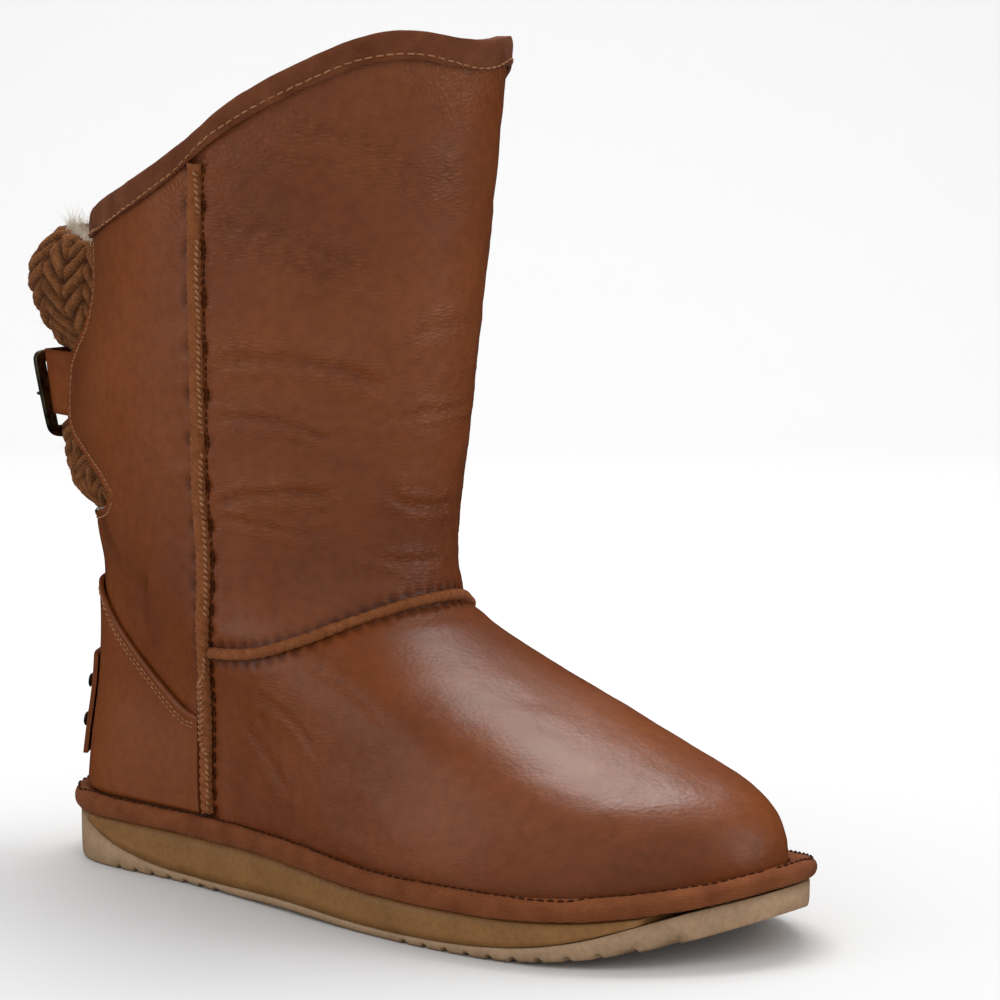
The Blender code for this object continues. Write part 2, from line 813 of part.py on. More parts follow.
def build_knit(look, tree):
    """The knitted gusset: seated inside the leather all round, swelling through the opening."""
    half = STRAP_WIDTH / 2
    heights = knit_heights()
    outline = opening_outline()
    places = np.sin(np.linspace(-1, 1, 17) * math.pi / 2)
    buckle_back = buckle_place(0.0, -BUCKLE_HEIGHT / 2, 0.0, tree)[0]
    over = STRAP_HEIGHT + half + 1.0
    outer = np.zeros((len(heights), len(places), 3))
    inner = np.zeros_like(outer)
    for row, height in enumerate(heights):
        opening = float(opening_half(max(height, OPENING_BOTTOM + 4)))
        level = float(level_at_height(0.6, height))
        reach = turn_at_across(level, opening) + KNIT_FLANGE / (SHAFT_WIDTH / 2)
        swell = float(smooth(KNIT_SWELL, 1, station_of(height))) * KNIT_BULGE
        banded = abs(height - STRAP_HEIGHT) < half + 1.1
        risen = np.clip((height - over) / (heights[-1] - over), 0, 1)
        lowered = height - TAPE_DROP * risen * np.abs(places) ** 3
        wall, inwards = inner_wall(tree, places * reach, lowered)
        seats = wall + inwards * GAP * 4
        backs = seats + inwards * KNIT_THICKNESS
        for column, seat in enumerate(seats):
            if banded:
                rise = float(np.clip(height - STRAP_HEIGHT, -half, half))
                strap = max(strap_seat(tree, seat[1] + step, rise) for step in (-1.6, 0.0, 1.6))
                shift = strap + STRAP_THICKNESS + GAP * 3 - seat[0]
                if abs(seat[1]) > STRAP_HALF + STRAP_CLEAR:
                    shift = 0.0
                shift = max(shift, 0.0)
            else:
                depth = inside_of_opening(seat[1], lowered[column], outline)
                inside = np.clip((depth - KNIT_HEM) / max(opening - KNIT_HEM, 1.0), 0, 1)
                fall = (1 - (1 - inside) ** 2) ** 0.6
                shift = -fall * max(0.0, swell - float(tab_lift(seat[1], lowered[column])))
                if abs(height - STRAP_HEIGHT + BUCKLE_DROP) < BUCKLE_HEIGHT / 2 + 1.5:
                    shift = max(shift, min(0.0, buckle_back + GAP * 2 - seat[0]))
            outer[row, column] = seat + (shift, 0.0, 0.0)
            inner[row, column] = backs[column] + (shift, 0.0, 0.0)
    points, faces = slab(outer, inner)
    return solid("knit_gusset", points, faces, look)


def strap_seat(tree, across, rise=0.0):
    """How far back the strap's outer face is: inside the tabs at its ends, flat through the opening between."""
    half = STRAP_WIDTH / 2
    heights = [STRAP_HEIGHT + step * half for step in (-1.05, -0.5, 0.0, 0.5, 1.05)]
    tucked = max(back_wall(tree, across, height) for height in heights) + GAP * 1.5
    middle = max(back_wall(tree, 0.0, height) for height in heights) + GAP * 1.5
    tab = float(opening_half(STRAP_HEIGHT))
    out = np.clip((tab - STRAP_TUCK - abs(across)) / STRAP_EMERGE, 0, 1)
    out = out * out * (3 - 2 * out)
    stand = WALL + STRAP_STAND + (rise + half) * math.tan(math.radians(STRAP_TILT))
    return tucked + out * (middle - stand - GAP - tucked)


def build_collar_tape(look):
    limit = float(opening_half(COLLAR_BACK)) + 1.0
    turns = np.linspace(0.0, math.pi, 400)
    start = turns[np.argmax(-upper_surface(turns, 1.0)[:, 1] > limit)]
    finish = 2 * math.pi - turns[np.argmax(upper_surface(2 * math.pi - turns, 1.0)[:, 1] > limit)]
    path = np.linspace(start, finish, 38)
    sections = []
    skin = TAPE_THICKNESS
    for turn in path:
        top_out = upper_point(turn, 1.0, GAP)
        top_in = upper_point(turn, 1.0, -WALL - GAP)
        top_in[2] = top_out[2]
        low_level = float(level_at_height(turn, top_out[2] - TAPE_DROP))
        low_out = upper_point(turn, low_level, GAP)
        low_in = upper_point(turn, low_level, -WALL - GAP)
        side = top_out - top_in
        side[2] = 0.0
        side /= np.linalg.norm(side)
        lift = np.array([0.0, 0.0, 1.0])
        rim = GAP
        sections.append(
            [
                low_out,
                low_out + side * skin,
                top_out + side * skin + lift * (rim - 0.6),
                top_out + side * skin * 0.3 + lift * (rim + skin * 0.9),
                top_in - side * skin * 0.3 + lift * (rim + skin * 0.9),
                top_in - side * skin + lift * (rim - 0.6),
                low_in - side * skin,
                low_in,
                top_in + lift * rim,
                top_out + lift * rim,
            ]
        )
    points, faces = tube(sections, False)
    return solid("collar_tape", points, faces, look)


def on_mesh(tree, points, out):
    """Each point moved onto the nearest place of the upper's own mesh, then out by a distance."""
    flat = np.asarray(points, float).reshape(-1, 3)
    moved = []
    for point, world in zip(flat, to_world(flat)):
        place, normal, _, _ = tree.find_nearest(Vector(world))
        place = place + normal * out * MM
        moved.append((SOLE_LENGTH / 2 - place.y / MM, place.x / MM, place.z / MM))
    return np.array(moved).reshape(np.shape(points))


def build_seam(name, look, tree, turns, levels, width, proud):
    """A rounded raised seam along a line of the upper."""
    base = upper_point(turns, levels, GAP)
    normals = upper_normal(turns, levels)
    ahead = np.gradient(base, axis=0)
    side = np.cross(normals, ahead)
    side /= np.linalg.norm(side, axis=1, keepdims=True)
    left = on_mesh(tree, base - side * width / 2, GAP)
    middle = on_mesh(tree, base, GAP)
    right = on_mesh(tree, base + side * width / 2, GAP)
    sections = []
    for index in range(len(base)):
        rise = normals[index] * proud
        inwards = side[index] * width
        sections.append(
            [
                middle[index],
                left[index],
                left[index] + rise * 0.55 + inwards * 0.05,
                middle[index] + rise * 0.95 - inwards * 0.22,
                middle[index] + rise * 0.95 + inwards * 0.22,
                right[index] + rise * 0.55 - inwards * 0.05,
                right[index],
            ]
        )
    points, faces = tube(sections, False)
    return solid(name, points, faces, look)


def seam_along(level):
    """How far from the heel a side seam stands at a level."""
    return SOLE_LENGTH * smooth(SIDE_SEAM, 1, level)


def side_seam_line(side, count=24):
    top_turn = turn_at_along(1.0, seam_along(1.0), side)
    top_height = upper_surface(top_turn, 1.0)[2] - TAPE_DROP - SIDE_SEAM_WIDTH * 0.5
    bottom_turn = turn_at_along(0.06, seam_along(0.0), side)
    bottom_height = platform(seam_along(0.0)) + FOXING_HEIGHT + 2 * GAP + 0.6
    top = float(level_at_height(top_turn, top_height))
    bottom = float(level_at_height(bottom_turn, bottom_height))
    levels = np.linspace(bottom, top, count)
    return turn_at_along(levels, seam_along(levels), side), levels


def vamp_seam_height(along):
    return VAMP_PEAK * smooth(VAMP_SEAM, 1, along / SOLE_LENGTH)


def build_vamp_seam(look, tree):
    """The seam where the shaft's front panel meets the vamp, from one side seam over the instep."""
    start = seam_along(0.45) + SIDE_SEAM_WIDTH / 2 + VAMP_SEAM_WIDTH * 0.2 + GAP
    path_turn = np.linspace(0.0, math.pi, 241)
    path_level = level_on_line(path_turn, vamp_seam_height)
    kept = upper_surface(path_turn, path_level)[:, 0] > start
    path_turn = path_turn[kept]
    path_level = path_level[kept]
    all_turns = np.concatenate([path_turn, 2 * math.pi - path_turn[-2::-1]])
    all_levels = np.concatenate([path_level, path_level[-2::-1]])
    line = upper_surface(all_turns, all_levels)
    run = np.concatenate([[0.0], np.cumsum(np.linalg.norm(np.diff(line, axis=0), axis=1))])
    wanted = np.linspace(0, run[-1], 35)
    turns = np.interp(wanted, run, all_turns)
    levels = np.interp(wanted, run, all_levels)
    return build_seam("vamp_seam", look, tree, turns, levels, VAMP_SEAM_WIDTH, VAMP_SEAM_PROUD)


def counter_height(along):
    return COUNTER_BACK * smooth(COUNTER_EDGE, 1, along / SOLE_LENGTH)


def counter_end(levels, side):
    """The turn at which the counter stops, just behind the side seam."""
    edge = seam_along(levels) - SIDE_SEAM_WIDTH / 2 - GAP - 0.4
    return turn_at_along(levels, edge, side)


def build_counter(look, tree):
    outer_turn = float(np.min(counter_end(np.linspace(0.05, 0.35, 13), -1)))
    step = 2 * math.pi / AROUND
    count = int((outer_turn - 0.03) / step)
    turns = np.arange(-count, count + 1) * step
    turns = np.concatenate([[-outer_turn], turns, [outer_turn]])
    tops = level_on_line(turns, counter_height)
    base = platform(upper_surface(turns, 0.1)[:, 0]) + FOXING_HEIGHT + 3 * GAP
    lows = level_at_height(turns, base)
    levels = lows + (tops - lows) * np.linspace(0, 1, 7)[:, None]
    grid = np.broadcast_to(turns, levels.shape).copy()
    grid[:, -1] = counter_end(levels[:, -1], -1)
    grid[:, 0] = counter_end(levels[:, 0], 1) - 2 * math.pi
    inner = on_mesh(tree, upper_point(grid, levels), GAP * 2)
    outer = inner + upper_normal(grid, levels) * COUNTER_THICKNESS
    points, faces = slab(outer, inner)
    return solid("heel_counter", points, faces, look)


def turn_at_across(level, across):
    """The turn at which a ring is a distance out to the side, on the outer side near the back."""
    low, high = 0.0, math.pi / 3
    for _ in range(30):
        mid = (low + high) / 2
        if -upper_surface(mid, level)[1] < abs(across):
            low = mid
        else:
            high = mid
    return (low + high) / 2


def build_patch(look):
    base = 2.6 * GAP + COUNTER_THICKNESS
    columns = 13
    rows = 5
    outer = np.zeros((rows, columns, 3))
    inner = np.zeros_like(outer)
    for row, height in enumerate(np.linspace(PATCH_BOTTOM, PATCH_TOP, rows)):
        limit = turn_at_across(float(level_at_height(0.5, height)), PATCH_HALF)
        for column, turn in enumerate(np.linspace(-limit, limit, columns)):
            level = float(level_at_height(turn, height))
            outer[row, column] = upper_point(turn, level, base + PATCH_THICKNESS)
            inner[row, column] = upper_point(turn, level, base)
    points, faces = slab(outer, inner)
    return solid("heel_patch", points, faces, look)


def build_rivet(name, look, side, height):
    level = float(level_at_height(0.5, height))
    turn = turn_at_across(level, PATCH_HALF - RIVET_INSET)
    turn = turn if side < 0 else -turn
    level = float(level_at_height(turn, height))
    normal = upper_normal(turn, level)
    seat = upper_point(turn, level, 3.6 * GAP + COUNTER_THICKNESS + PATCH_THICKNESS)
    along = np.cross(normal, (0.0, 0.0, 1.0))
    along /= np.linalg.norm(along)
    up = np.cross(along, normal)
    radius = RIVET_DIAMETER / 2
    sections = []
    for spread, rise in ((0.86, 0.0), (1.0, 0.22), (0.92, 0.6), (0.55, 0.95)):
        ring = []
        for step in range(10):
            angle = step * math.pi / 5
            flat = along * math.cos(angle) + up * math.sin(angle)
            ring.append(seat + flat * radius * spread + normal * RIVET_PROUD * rise)
        sections.append(ring)
    points, faces = tube(sections, False)
    return solid(name, points, faces, look)


def build_strap(look, tree):
    """The strap: its ends lie inside the tabs, and its middle bridges the opening over the knit."""
    tab = float(opening_half(STRAP_HEIGHT))
    places = [STRAP_HALF, STRAP_HALF * 0.88]
    places += [tab - STRAP_TUCK + STRAP_EMERGE * share for share in (0.7, 0.28, 0.0, -0.3, -0.63, -1.0)]
    places += [tab * 0.4, tab * 0.2]
    places = [-place for place in places] + [0.0] + places[::-1]
    half = STRAP_WIDTH / 2
    sections = []
    for across in places:
        low = strap_seat(tree, across, -half)
        high = strap_seat(tree, across, half)
        sections.append(
            [
                (low + STRAP_THICKNESS, across, STRAP_HEIGHT - half),
                (low, across, STRAP_HEIGHT - half),
                (high, across, STRAP_HEIGHT + half),
                (high + STRAP_THICKNESS, across, STRAP_HEIGHT + half),
            ]
        )
    points, faces = tube(sections, False)
    return solid("strap", points, faces, look, False)


def buckle_place(across, up, out, tree):
    """A place on the tilted plane of the buckle: out is away from the strap."""
    tilt = math.radians(BUCKLE_TILT)
    half = STRAP_WIDTH / 2
    face = strap_seat(tree, 0.0, -half) - CHAPE_THICKNESS - GAP * 2
    height = STRAP_HEIGHT - BUCKLE_DROP + up * math.cos(tilt)
    lean = (height - STRAP_HEIGHT + half) * math.tan(tilt)
    return (face - lean - out, across, height)


def build_buckle(look, tree):
    """The frame: a rounded bar bent into a rectangle."""
    wide = BUCKLE_WIDTH / 2 - BUCKLE_BAR / 2
    tall = BUCKLE_HEIGHT / 2 - BUCKLE_BAR / 2
    corner = BUCKLE_CORNER
    sections = []
    for step in range(16):
        quarter = step // 4
        angle = math.radians(90 * quarter + (step % 4) * 30)
        side = (1, -1, -1, 1)[quarter]
        rise = (1, 1, -1, -1)[quarter]
        centre = np.array([side * (wide - corner), rise * (tall - corner)])
        outwards = np.array([math.cos(angle), math.sin(angle)])
        middle = centre + outwards * corner
        section = []
        for spread, lift in ((-0.5, 0.0), (-0.5, 0.7), (-0.25, 1.0), (0.25, 1.0), (0.5, 0.7), (0.5, 0.0)):
            place = middle + outwards * BUCKLE_BAR * spread
            section.append(buckle_place(place[0], place[1], BUCKLE_THICKNESS * lift, tree))
        sections.append(section)
    points, faces = tube(sections, True)
    return solid("buckle_frame", points, faces, look)


def build_prong(look, tree):
    """The prong lies over the inner bar, across the strap, with its tip on the outer bar."""
    radius = PRONG_DIAMETER / 2
    reach = BUCKLE_WIDTH / 2
    over = BUCKLE_THICKNESS + GAP + radius
    line = ((reach - 0.6, over, 0.8), (reach * 0.5, over, 1.0), (-reach * 0.5, over, 1.0))
    line += ((-reach + 2.4, over, 0.9), (-reach + 1.2, over - 0.2, 0.6))
    sections = []
    for across, out, girth in line:
        ring = []
        for step in range(8):
            angle = step * math.pi / 4
            up = math.sin(angle) * radius * girth
            ring.append(buckle_place(across, up, out + math.cos(angle) * radius * girth, tree))
        sections.append(ring)
    points, faces = tube(sections, False)
    return solid("buckle_prong", points, faces, look)


def build_chape(look, tree):
    """The short strap folded round the inner bar, slotted for the prong, its tail lying on the strap."""
    thick = CHAPE_THICKNESS
    near = BUCKLE_WIDTH / 2 - BUCKLE_BAR - GAP
    far = BUCKLE_WIDTH / 2 + GAP
    front = BUCKLE_THICKNESS + GAP
    half = CHAPE_HEIGHT / 2
    shape = (
        (far + CHAPE_TAIL, -GAP - thick),
        (near - thick * 0.5, -GAP - thick),
        (near - thick, -GAP - thick * 0.5),
        (near - thick, front + thick * 0.5),
        (near - thick * 0.5, front + thick),
        (far + thick * 0.5, front + thick),
        (far + thick, front + thick * 0.5),
        (far + thick, 0.6),
        (far, 0.6),
        (far, front),
        (near, front),
        (near, -GAP),
        (far + CHAPE_TAIL, -GAP),
    )
    sections = []
    for rise in (-half, half):
        sections.append([buckle_place(across, rise, out, tree) for across, out in shape])
    points, faces = tube(sections, False)
    chape = solid("buckle_chape", points, faces, look, False)
    slot = CHAPE_SLOT / 2
    corners = []
    for across in (near - thick * 3, far - thick * 0.2):
        section = []
        for out, rise in ((GAP, -slot), (front + thick * 3, -slot), (front + thick * 3, slot), (GAP, slot)):
            section.append(buckle_place(across, rise, out, tree))
        corners.append(section)
    points, faces = tube(corners, False)
    cut(chape, solid("slot_cutter", points, faces, look, False))
    return chape


def centre(things):
    """Moves the whole boot so that the origin is at the bottom centre of its bounding box."""
    corners = np.array([vertex.co for thing in things for vertex in thing.data.vertices])
    middle = (corners.min(axis=0) + corners.max(axis=0)) / 2
    middle[2] = corners[:, 2].min()
    for thing in things:
        thing.data.transform(Matrix.Translation(-Vector(middle)))


def main():
    for thing in list(bpy.data.objects):
        bpy.data.objects.remove(thing)
    leather = material("tan_leather", (0.235, 0.082, 0.026), 0.42)
    dark_leather = material("strap_leather", (0.19, 0.065, 0.022), 0.45)
    tape = material("twill_tape", (0.11, 0.042, 0.018), 0.75)
    cord = material("seam_thread", (0.36, 0.165, 0.075), 0.7)
    knit = material("brown_knit", (0.20, 0.088, 0.036), 0.85)
    rubber = material("tan_rubber", (0.50, 0.30, 0.15), 0.6)
    foam = material("amber_foam", (0.36, 0.17, 0.065), 0.6)
    fleece = material("cream_fleece", (0.72, 0.60, 0.44), 0.9)
    brass = material("antique_brass", (0.34, 0.27, 0.15), 0.4, 1.0)
    rivet = material("dark_metal", (0.10, 0.09, 0.08), 0.4, 1.0)

    build_outsole(rubber)
    build_midsole(foam)
    build_foxing(tape)
    build_insole(fleece)
    upper = build_upper_wall(leather)
    bpy.context.view_layer.update()
    tree = tree_of(upper)
    build_knit(knit, tree)
    cut(upper, build_opening_cutter(leather))
    build_collar_tape(tape)
    for name, side in (("side_seam_outer", -1), ("side_seam_inner", 1)):
        turns, levels = side_seam_line(side)
        build_seam(name, cord, tree, turns, levels, SIDE_SEAM_WIDTH, SIDE_SEAM_PROUD)
    build_vamp_seam(cord, tree)
    build_counter(leather, tree)
    build_patch(dark_leather)
    middle = (PATCH_BOTTOM + PATCH_TOP) / 2
    for side, word in ((-1, "outer"), (1, "inner")):
        build_rivet("rivet_upper_" + word, rivet, side, middle + RIVET_SPACING / 2)
        build_rivet("rivet_lower_" + word, rivet, side, middle - RIVET_SPACING / 2)
    build_strap(dark_leather, tree)
    build_buckle(brass, tree)
    build_prong(brass, tree)
    build_chape(dark_leather, tree)
    centre(bpy.context.scene.collection.objects)


main()
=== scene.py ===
"""Looks of the right sheepskin boot: nappa panels, whip-stitched cords, twill tapes, cable knit and fleece."""

import math

import bmesh
import bpy
import numpy as np
from mathutils import Matrix, Vector, noise
from mathutils.bvhtree import BVHTree
from mathutils.kdtree import KDTree


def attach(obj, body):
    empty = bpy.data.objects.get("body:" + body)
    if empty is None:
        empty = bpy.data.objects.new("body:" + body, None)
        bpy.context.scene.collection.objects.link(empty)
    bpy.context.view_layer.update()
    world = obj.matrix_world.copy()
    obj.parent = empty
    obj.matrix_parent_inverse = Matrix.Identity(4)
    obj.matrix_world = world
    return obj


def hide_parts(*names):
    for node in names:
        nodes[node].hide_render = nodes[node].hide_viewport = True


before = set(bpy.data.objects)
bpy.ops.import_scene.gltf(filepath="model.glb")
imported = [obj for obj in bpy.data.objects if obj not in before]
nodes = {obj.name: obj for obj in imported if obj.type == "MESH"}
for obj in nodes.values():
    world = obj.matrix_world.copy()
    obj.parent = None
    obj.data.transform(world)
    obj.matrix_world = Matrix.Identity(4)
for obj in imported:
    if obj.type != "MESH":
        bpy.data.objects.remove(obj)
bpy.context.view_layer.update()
MM = 0.001
SEAM_NODES = ("side_seam_outer", "side_seam_inner", "vamp_seam")
RNG = np.random.default_rng(8)

# Camera of the photograph, in the part's frame
CAMERA_PLACE = (-0.8971, -0.7610, 0.2716)
CAMERA_YAW = 38.5
CAMERA_PITCH = 7.3
CAMERA_LENS = 138.6
SENSOR = 36.0

# The leg's axis
AXIS_X = 5.7 * MM
AXIS_Y = 48.8 * MM

# Main creases of the front panel and the vamp: depth, half width, then points (side, along, height), in mm
CREASES = (
    (1.0, 1.7, ((-41, 6, 234), (-33.6, -10, 234.5), (-24.9, -20, 229.6), (-13.4, -27.7, 224), (4.2, -31.9, 219))),
    (0.7, 1.5, ((-43.5, 13, 225), (-37.9, -1.8, 227), (-29.5, -14.2, 223.7), (-18.3, -24, 219), (6, -31, 213.9))),
    (0.9, 1.7, ((-46, 29, 205), (-42.9, 13.8, 206), (-36.8, -0.7, 202.8), (-29.8, -10.3, 196.3), (-20, -18, 193))),
    (0.6, 1.4, ((-46, 27, 200), (-41, 8, 197.5), (-33.1, -5.3, 192.4), (-25, -14.8, 189.7), (-17, -20, 186))),
    (1.1, 1.9, ((-43.8, 28.5, 165), (-39.9, 13, 166.4), (-33.4, -0.5, 165.5), (-25.6, -10.4, 162.5), (-15.5, -17.9, 157))),
    (0.7, 1.5, ((-42.3, 28.5, 147.7), (-38, 12.8, 147.8), (-33.2, 3, 145.3), (-26, -7, 141))),
    (0.9, 1.7, ((-40.2, 31.6, 122), (-36.6, 16.4, 124.6), (-31.5, 4.7, 125.6), (-24.6, -4.9, 124.5))),
    (0.6, 1.4, ((-39.9, 31.9, 118), (-35.4, 15.5, 114.8), (-30.6, 5.6, 113.3), (-24, -4, 114))),
    (0.6, 1.5, ((14.4, -24.7, 177), (2.8, -26, 176), (-5, -24.6, 175), (-14, -20, 172))),
    (0.6, 1.5, ((19, -20, 151), (3.7, -23.2, 150), (-4.4, -22, 150), (-13, -18, 146))),
    (0.7, 1.6, ((14, -17, 121), (5.9, -19.3, 120.4), (-4.6, -18.1, 121), (-14, -14, 125))),
    (0.5, 1.5, ((12, -16, 104), (2.8, -17.9, 103.7), (-8.4, -15.3, 104), (-17, -10, 107))),
    (0.3, 1.8, ((-40.7, 17.4, 65.4), (-42.5, -0.4, 58.5), (-44, -13.6, 48))),
    (0.3, 1.8, ((-37.6, 24.4, 55), (-40.2, 9.9, 44.6), (-43.1, -0.8, 34))),
    (0.3, 1.8, ((-40.6, -2.9, 75.3), (-41, -22.5, 69.8), (-43, -40, 60))),
)
# A wide soft dent of the rear quarter above the counter: depth, half width, points
DENTS = ((1.6, 9.0, ((-20, 100, 108), (-29, 88, 98), (-36, 62, 88))),)


def clean_mesh(node):
    """A node's mesh with its points joined and its triangles put back into quads."""
    body = bmesh.new()
    body.from_mesh(nodes[node].data)
    bmesh.ops.remove_doubles(body, verts=body.verts, dist=3e-6)
    bmesh.ops.join_triangles(
        body, faces=body.faces, angle_face_threshold=math.radians(35), angle_shape_threshold=math.radians(70)
    )
    body.normal_update()
    return body


def spread(body, start, sharp):
    """The faces reached from a face without crossing an edge sharper than an angle in degrees."""
    found = {start}
    waiting = [start]
    while waiting:
        face = waiting.pop()
        for edge in face.edges:
            if len(edge.link_faces) == 2 and edge.calc_face_angle() < math.radians(sharp):
                for other in edge.link_faces:
                    if other not in found:
                        found.add(other)
                        waiting.append(other)
    return found


def finer(body, name, levels, sharp):
    """An object from a mesh, its sharp edges kept and the rest rounded by subdivision."""
    layer = body.edges.layers.float.get("crease_edge") or body.edges.layers.float.new("crease_edge")
    for edge in body.edges:
        if len(edge.link_faces) == 2 and edge.calc_face_angle() > math.radians(sharp):
            edge[layer] = 1.0
    mesh = bpy.data.meshes.new(name)
    body.to_mesh(mesh)
    body.free()
    made = bpy.data.objects.new(name, mesh)
    bpy.context.scene.collection.objects.link(made)
    change = made.modifiers.new("fine", "SUBSURF")
    change.levels = change.render_levels = levels
    change.boundary_smooth = "PRESERVE_CORNERS"
    graph = bpy.context.evaluated_depsgraph_get()
    made.data = bpy.data.meshes.new_from_object(made.evaluated_get(graph))
    made.modifiers.clear()
    made.data.shade_smooth()
    return made


def places_of(thing):
    points = np.zeros(len(thing.data.vertices) * 3)
    thing.data.vertices.foreach_get("co", points)
    ways = np.zeros(len(thing.data.vertices) * 3)
    thing.data.vertices.foreach_get("normal", ways)
    return points.reshape(-1, 3), ways.reshape(-1, 3)


def put_places(thing, points):
    thing.data.vertices.foreach_set("co", np.asarray(points, np.float32).ravel())
    thing.data.update()


def from_data(name, points, faces):
    mesh = bpy.data.meshes.new(name)
    mesh.from_pydata([tuple(p) for p in points], [], [tuple(f) for f in faces])
    mesh.update()
    mesh.shade_smooth()
    made = bpy.data.objects.new(name, mesh)
    bpy.context.scene.collection.objects.link(made)
    return made


def to_line(points, line):
    """Distance of each point to a polyline, and how far along it the nearest place is, 0 to 1."""
    best = np.full(len(points), 1e9)
    where = np.zeros(len(points))
    line = np.asarray(line, float)
    lengths = np.linalg.norm(np.diff(line, axis=0), axis=1)
    total = lengths.sum()
    before = 0.0
    for start, end, length in zip(line[:-1], line[1:], lengths):
        run = end - start
        share = np.clip(((points - start) @ run) / max(length**2, 1e-12), 0, 1)
        distance = np.linalg.norm(points - start - share[:, None] * run, axis=1)
        nearer = distance < best
        best = np.where(nearer, distance, best)
        where = np.where(nearer, (before + share * length) / total, where)
        before += length
    return best, where


def smooth_line(points, count):
    """A polyline redrawn as a smooth curve with evenly spaced points."""
    points = np.asarray(points, float)
    padded = np.vstack([2 * points[0] - points[1], points, 2 * points[-1] - points[-2]])
    out = []
    for i in range(len(points) - 1):
        a, b, c, d = padded[i : i + 4]
        for t in np.linspace(0, 1, 12, endpoint=False):
            out.append(
                0.5 * (2 * b + (c - a) * t + (2 * a - 5 * b + 4 * c - d) * t**2 + (3 * b - a - 3 * c + d) * t**3)
            )
    out.append(points[-1])
    out = np.array(out)
    run = np.concatenate([[0], np.cumsum(np.linalg.norm(np.diff(out, axis=0), axis=1))])
    even = np.linspace(0, run[-1], count)
    return np.stack([np.interp(even, run, out[:, k]) for k in range(3)], -1)


def wavy(points, scale, seed=0.0, octaves=2):
    """Smooth noise at each point, about -1 to 1. scale is the features' size in metres, one number an axis."""
    size = np.asarray(scale, float)
    return np.array([noise.fractal(Vector(p / size + seed), 1.0, 2.0, octaves) for p in points])


# Materials


class Look:
    """A procedural material: a Principled shader, the object's own coordinates, and helpers that chain nodes."""

    def __init__(self, name, roughness, metallic=0.0, specular=0.5):
        self.material = bpy.data.materials.new(name)
        self.material.use_nodes = True
        self.tree = self.material.node_tree
        self.shader = self.tree.nodes["Principled BSDF"]
        self.shader.inputs["Roughness"].default_value = roughness
        self.shader.inputs["Metallic"].default_value = metallic
        self.shader.inputs["Specular IOR Level"].default_value = specular
        self.coords = self.tree.nodes.new("ShaderNodeTexCoord").outputs["Object"]
        self.bumps = None

    def link(self, out, into):
        self.tree.links.new(out, into)

    def mapped(self, scale=(1, 1, 1), turn=(0, 0, 0)):
        node = self.tree.nodes.new("ShaderNodeMapping")
        node.inputs["Scale"].default_value = scale
        node.inputs["Rotation"].default_value = turn
        self.link(self.coords, node.inputs["Vector"])
        return node.outputs["Vector"]

    def noise(self, scale, detail=3.0, rough=0.55, vector=None, distort=0.0):
        node = self.tree.nodes.new("ShaderNodeTexNoise")
        node.inputs["Scale"].default_value = scale
        node.inputs["Detail"].default_value = detail
        node.inputs["Roughness"].default_value = rough
        node.inputs["Distortion"].default_value = distort
        self.link(vector or self.coords, node.inputs["Vector"])
        return node.outputs["Fac"]

    def cells(self, scale, vector=None, feature="F1"):
        node = self.tree.nodes.new("ShaderNodeTexVoronoi")
        node.feature = feature
        node.inputs["Scale"].default_value = scale
        self.link(vector or self.coords, node.inputs["Vector"])
        return node.outputs["Distance"]

    def bands(self, scale, vector=None, distort=0.0, direction="X"):
        node = self.tree.nodes.new("ShaderNodeTexWave")
        node.bands_direction = direction
        node.inputs["Scale"].default_value = scale
        node.inputs["Distortion"].default_value = distort
        self.link(vector or self.coords, node.inputs["Vector"])
        return node.outputs["Fac"]

    def ramp(self, value, stops):
        node = self.tree.nodes.new("ShaderNodeValToRGB")
        elements = node.color_ramp.elements
        while len(elements) < len(stops):
            elements.new(0.5)
        for element, (place, colour) in zip(elements, stops):
            element.position = place
            element.color = (*colour, 1.0)
        self.link(value, node.inputs["Fac"])
        return node.outputs["Color"]

    def mix(self, share, first, second, kind="MIX"):
        node = self.tree.nodes.new("ShaderNodeMix")
        node.data_type = "RGBA"
        node.blend_type = kind
        for value, place in ((share, 0), (first, 6), (second, 7)):
            if hasattr(value, "links"):
                self.link(value, node.inputs[place])
            elif place == 0:
                node.inputs[place].default_value = value
            else:
                node.inputs[place].default_value = (*value, 1.0)
        return node.outputs[2]

    def attribute(self, name):
        node = self.tree.nodes.new("ShaderNodeAttribute")
        node.attribute_name = name
        return node.outputs["Fac"]

    def product(self, first, second):
        node = self.tree.nodes.new("ShaderNodeMath")
        node.operation = "MULTIPLY"
        self.link(first, node.inputs[0])
        self.link(second, node.inputs[1])
        return node.outputs[0]

    def scaled(self, value, low, high):
        node = self.tree.nodes.new("ShaderNodeMapRange")
        node.inputs["To Min"].default_value = low
        node.inputs["To Max"].default_value = high
        self.link(value, node.inputs["Value"])
        return node.outputs["Result"]

    def bump(self, height, strength, distance):
        node = self.tree.nodes.new("ShaderNodeBump")
        node.inputs["Strength"].default_value = strength
        node.inputs["Distance"].default_value = distance
        self.link(height, node.inputs["Height"])
        if self.bumps:
            self.link(self.bumps, node.inputs["Normal"])
        self.bumps = node.outputs["Normal"]

    def done(self, colour=None, rough=None):
        if colour is not None:
            self.link(colour, self.shader.inputs["Base Color"])
        if rough is not None:
            self.link(rough, self.shader.inputs["Roughness"])
        if self.bumps:
            self.link(self.bumps, self.shader.inputs["Normal"])
        return self.material


LEATHER_DARK = (0.138, 0.0300, 0.0042)
LEATHER_MID = (0.176, 0.0420, 0.0064)
LEATHER_LIGHT = (0.215, 0.0560, 0.0100)


